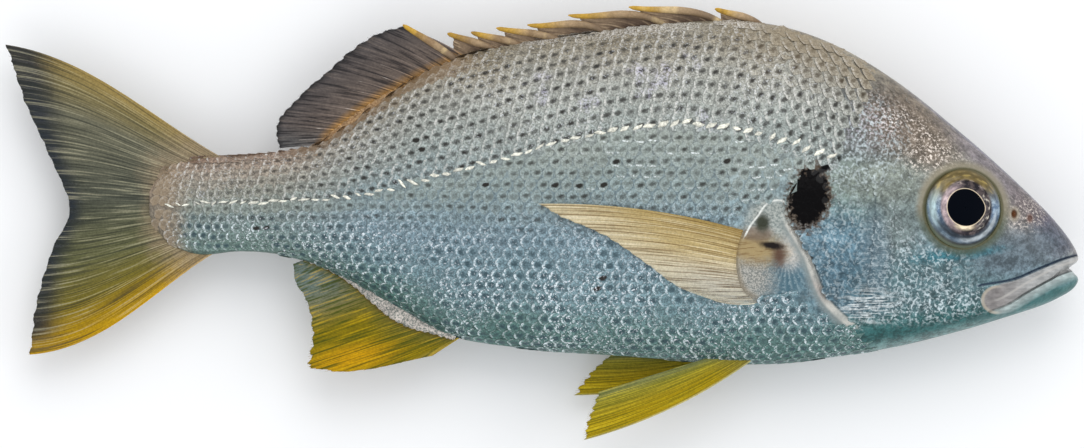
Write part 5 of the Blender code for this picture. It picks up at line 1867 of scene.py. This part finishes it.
def reach_back(x, roots, tips):
    """0 at the front of a fin's root, 1 at its far tip."""
    return np.clip((roots[0][0] - x) / (roots[0][0] - tips[0][0]), 0.0, 1.0)


def build_pectoral_fins(shape, colours):
    """The side fins: one over the flank that shows, the other caught under the fish."""

    def near(x, y, off):
        reach = reach_back(x, PECTORAL_ROOTS, PECTORAL_TIPS)
        skin = half_thickness(x, y) + gill_shape(x, y)
        return skin - PECTORAL_SINK + PECTORAL_LIFT * np.sqrt(reach) + off

    def far(x, y, off):
        skin = left_depth(x, y, half_thickness(x, y))
        return -np.minimum(skin + PECTORAL_UNDER_GAP + off, LYING_HALF_WIDTH)

    def clear(finish, u, v, wave):
        faint = finish.smooth(u, 0.45, 1.0) * 0.5
        full = 0.96 - finish.smooth(v, 0.4, 1.0) * 0.15 - faint - (1.0 - wave) * 0.10
        return full * (finish.smooth(v, 0.005, 0.09) * 0.9 + 0.1)

    tones = ((112, 84, 44), (246, 236, 206))
    finishes = (
        fin_finish("pectoral_membrane", "pectoral", *tones, (0.75, 0.55), (70.0, 1.6), clear),
        fin_finish("pectoral_rays", "pectoral", *tones, (0.3, 0.6), (80.0, 2.0), lit=1.12),
    )
    for name, rule, seed in (("pectoral_shown", near, 5), ("pectoral_under", far, 6)):
        fin = Fin(PECTORAL_ROOTS, PECTORAL_TIPS, PECTORAL_BOWS, 15, depth_rule=rule)
        sizes = {"web": 0.00012, "ridge": 0.00008, "thick": 0.00022, "forks": (0.5, 0.8)}
        build_fin(name, fin, finishes, (60, 9, 0.012), seed=seed, **sizes)


def build_pelvic_fins(shape, colours):
    """The pair of belly fins, yellow, with a pale leading spine."""

    def rule(splay, side):
        def depth(x, y, off):
            return side * PELVIC_SIDE + splay * reach_back(x, PELVIC_ROOTS, PELVIC_TIPS_NEAR) + off

        return depth

    dark = (76, 86, 12)
    finishes = (
        fin_finish("pelvic_membrane", "pelvic", dark, (224, 202, 44), (0.75, 0.5), (55.0, 1.6)),
        fin_finish("pelvic_rays", "pelvic", dark, (232, 214, 110), (0.3, 0.4), (60.0, 2.0), lit=1.1),
    )
    pairs = (
        ("pelvic_shown", PELVIC_TIPS_NEAR, PELVIC_SPLAY_NEAR, 1, 7),
        ("pelvic_under", PELVIC_TIPS_FAR, PELVIC_SPLAY_FAR, -1, 8),
    )
    for name, tips, splay, side, seed in pairs:
        fin = Fin(PELVIC_ROOTS, tips, PELVIC_BOWS, 6, depth_rule=rule(splay, side))
        build_fin(name, fin, finishes, (48, 16, 0.02), web=0.00020, ridge=0.00012, seed=seed)


# Camera: straight above, far off, so that one pixel of the 1084 x 448 picture is 0.3 mm at the mid plane.
PICTURE_WIDTH = 0.3252
PICTURE_CENTRE = (0.0003, -0.0006)
CAMERA_HEIGHT = 2.5
SENSOR_WIDTH = 36.0
FLOOR_SIZE = 14.0
SOFTBOXES = (
    # Name, place, what it is turned to, size, and the property that holds its power.
    ("back_softbox", (0.15, 0.95, 1.15), (0.0, 0.0, 0.0), 1.1, "key_power"),
    ("front_softbox", (-0.25, -0.9, 0.9), (0.0, 0.0, 0.0), 0.9, "fill_power"),
    ("head_softbox", (0.95, 0.15, 0.7), (0.05, 0.0, 0.0), 0.5, "side_power"),
)
ROOM_COLOUR = (0.95, 0.97, 1.0, 1.0)


def build_stage(studio):
    """A pale floor, soft lights and the camera."""
    scene = bpy.context.scene
    half = FLOOR_SIZE / 2
    corners = ((-half, -half, 0.0), (half, -half, 0.0), (half, half, 0.0), (-half, half, 0.0))
    floor = bpy.data.objects.new("floor", new_mesh("floor", corners, [(0, 1, 2, 3)]))
    pale = bpy.data.materials.new("pale_floor")
    pale.use_nodes = True
    shader = pale.node_tree.nodes["Principled BSDF"]
    shader.inputs["Base Color"].default_value = (*studio.floor_colour, 1.0)
    shader.inputs["Roughness"].default_value = 0.9
    shader.inputs["Specular IOR Level"].default_value = 0.1
    floor.data.materials.append(pale)
    scene.collection.objects.link(floor)

    for name, place, target, size, power in SOFTBOXES:
        light = bpy.data.lights.new(name, "AREA")
        light.shape = "SQUARE"
        light.size = size
        light.energy = getattr(studio, power)
        lamp = bpy.data.objects.new(name, light)
        lamp.location = place
        lamp.rotation_euler = (Vector(target) - Vector(place)).to_track_quat("-Z", "Y").to_euler()
        lamp.visible_camera = False
        scene.collection.objects.link(lamp)

    scene.world = bpy.data.worlds.new("studio")
    scene.world.use_nodes = True
    background = scene.world.node_tree.nodes["Background"]
    background.inputs["Color"].default_value = ROOM_COLOUR
    background.inputs["Strength"].default_value = studio.room_light
    scene.view_settings.view_transform = "Standard"

    camera = bpy.data.cameras.new("camera")
    camera.sensor_width = SENSOR_WIDTH
    camera.lens = SENSOR_WIDTH * CAMERA_HEIGHT / PICTURE_WIDTH
    camera.clip_end = 30.0
    eye = bpy.data.objects.new("camera", camera)
    eye.location = LAID_AT + (*PICTURE_CENTRE, CAMERA_HEIGHT)
    scene.collection.objects.link(eye)
    scene.camera = eye


def number_property(name, description, value, unit="NONE"):
    return bpy.props.FloatProperty(name=name, description=description, default=value, unit=unit)


def colour_property(name, description, value):
    return bpy.props.FloatVectorProperty(
        name=name, description=description, default=tone(*value)[:3], subtype="COLOR", min=0.0, max=1.0
    )


class FishShape(bpy.types.PropertyGroup):
    """Sizes that a user may change."""

    eye_radius: number_property("Eye radius", "From the middle of the eye to its rim", 0.0120, "LENGTH")
    scale_lift: number_property("Scale lift", "How far a scale's free rim stands up", 0.00014, "LENGTH")


class FishColours(bpy.types.PropertyGroup):
    """Colours that a user may change."""

    spot: colour_property("Spot", "Dark spot on a scale", (34, 32, 28))
    blotch: colour_property("Blotch", "Black mark at the top of the gill cover", (5, 4, 5))
    pores: colour_property("Pores", "Pale marks of the lateral line", (244, 242, 226))
    pupil: colour_property("Pupil", "Lens of the eye", (1, 4, 12))
    eye_rim: colour_property("Eye rim", "Thin ring round the pupil", (230, 212, 180))


class FishStudio(bpy.types.PropertyGroup):
    """The stage's light and floor."""

    key_power: number_property("Key light", "Softbox behind the back", 7.0, "POWER")
    fill_power: number_property("Fill light", "Softbox below the belly", 2.0, "POWER")
    side_power: number_property("Head light", "Small softbox ahead", 1.2, "POWER")
    room_light: number_property("Room light", "Strength of the plain surroundings", 0.86)
    floor_colour: colour_property("Floor", "Plain pale floor", (246, 246, 246))


def operator(label, identifier, text, build, group="shape"):
    """An operator that runs one building function."""

    def execute(self, context):
        scene = context.scene
        if group == "studio":
            build(scene.fish_studio)
        else:
            build(scene.fish_shape, scene.fish_colours)
        return {"FINISHED"}

    body = {"bl_idname": identifier, "bl_label": label, "__doc__": text, "execute": execute}
    return type("FISH_OT_" + identifier.split(".")[1], (bpy.types.Operator,), body)


OPERATORS = (
    operator("Skin", "fish.make_skin", "Make the skin of the trunk and the head", build_skin),
    operator("Flank scales", "fish.make_flank_scales", "Lay the scales of both flanks", build_flank_scales),
    operator("Small scales", "fish.make_small_scales", "Lay the fine scales of the head", build_small_scales),
    operator("Lateral line", "fish.make_lateral_line", "Lay the lateral line's pores", build_lateral_line),
    operator("Eyes", "fish.make_eyes", "Make both eyes", build_eyes),
    operator("Tail fin", "fish.make_tail", "Make the tail fin", build_tail),
    operator("Back fins", "fish.make_back_fins", "Make the back fin and its spines", build_back_fins),
    operator("Vent fin", "fish.make_vent_fin", "Make the fin behind the vent", build_vent_fin),
    operator("Pectoral fins", "fish.make_pectoral_fins", "Make the side fins", build_pectoral_fins),
    operator("Pelvic fins", "fish.make_pelvic_fins", "Make the belly fins", build_pelvic_fins),
    operator("Stage", "fish.make_stage", "Make the floor, the lights and the camera", build_stage, "studio"),
)


class FISH_PT_parts(bpy.types.Panel):
    """Lists the fish's parts in the sidebar."""

    bl_label = "Whole sea bream"
    bl_space_type = "VIEW_3D"
    bl_region_type = "UI"
    bl_category = "Fish"

    def draw(self, context):
        scene = context.scene
        for group in (scene.fish_shape, scene.fish_colours, scene.fish_studio):
            for name in group.__annotations__:
                self.layout.prop(group, name)
        for part in OPERATORS:
            self.layout.operator(part.bl_idname)


GROUPS = {"fish_shape": FishShape, "fish_colours": FishColours, "fish_studio": FishStudio}


def register():
    for name, group in GROUPS.items():
        bpy.utils.register_class(group)
        setattr(bpy.types.Scene, name, bpy.props.PointerProperty(type=group))
    for part in (*OPERATORS, FISH_PT_parts):
        bpy.utils.register_class(part)


def unregister():
    for part in (FISH_PT_parts, *reversed(OPERATORS)):
        bpy.utils.unregister_class(part)
    for name, group in GROUPS.items():
        delattr(bpy.types.Scene, name)
        bpy.utils.unregister_class(group)


def main():
    register()
    for part in OPERATORS:
        group, name = part.bl_idname.split(".")
        getattr(getattr(bpy.ops, group), name)()
    bpy.context.view_layer.update()


if __name__ == "__main__":
    main()
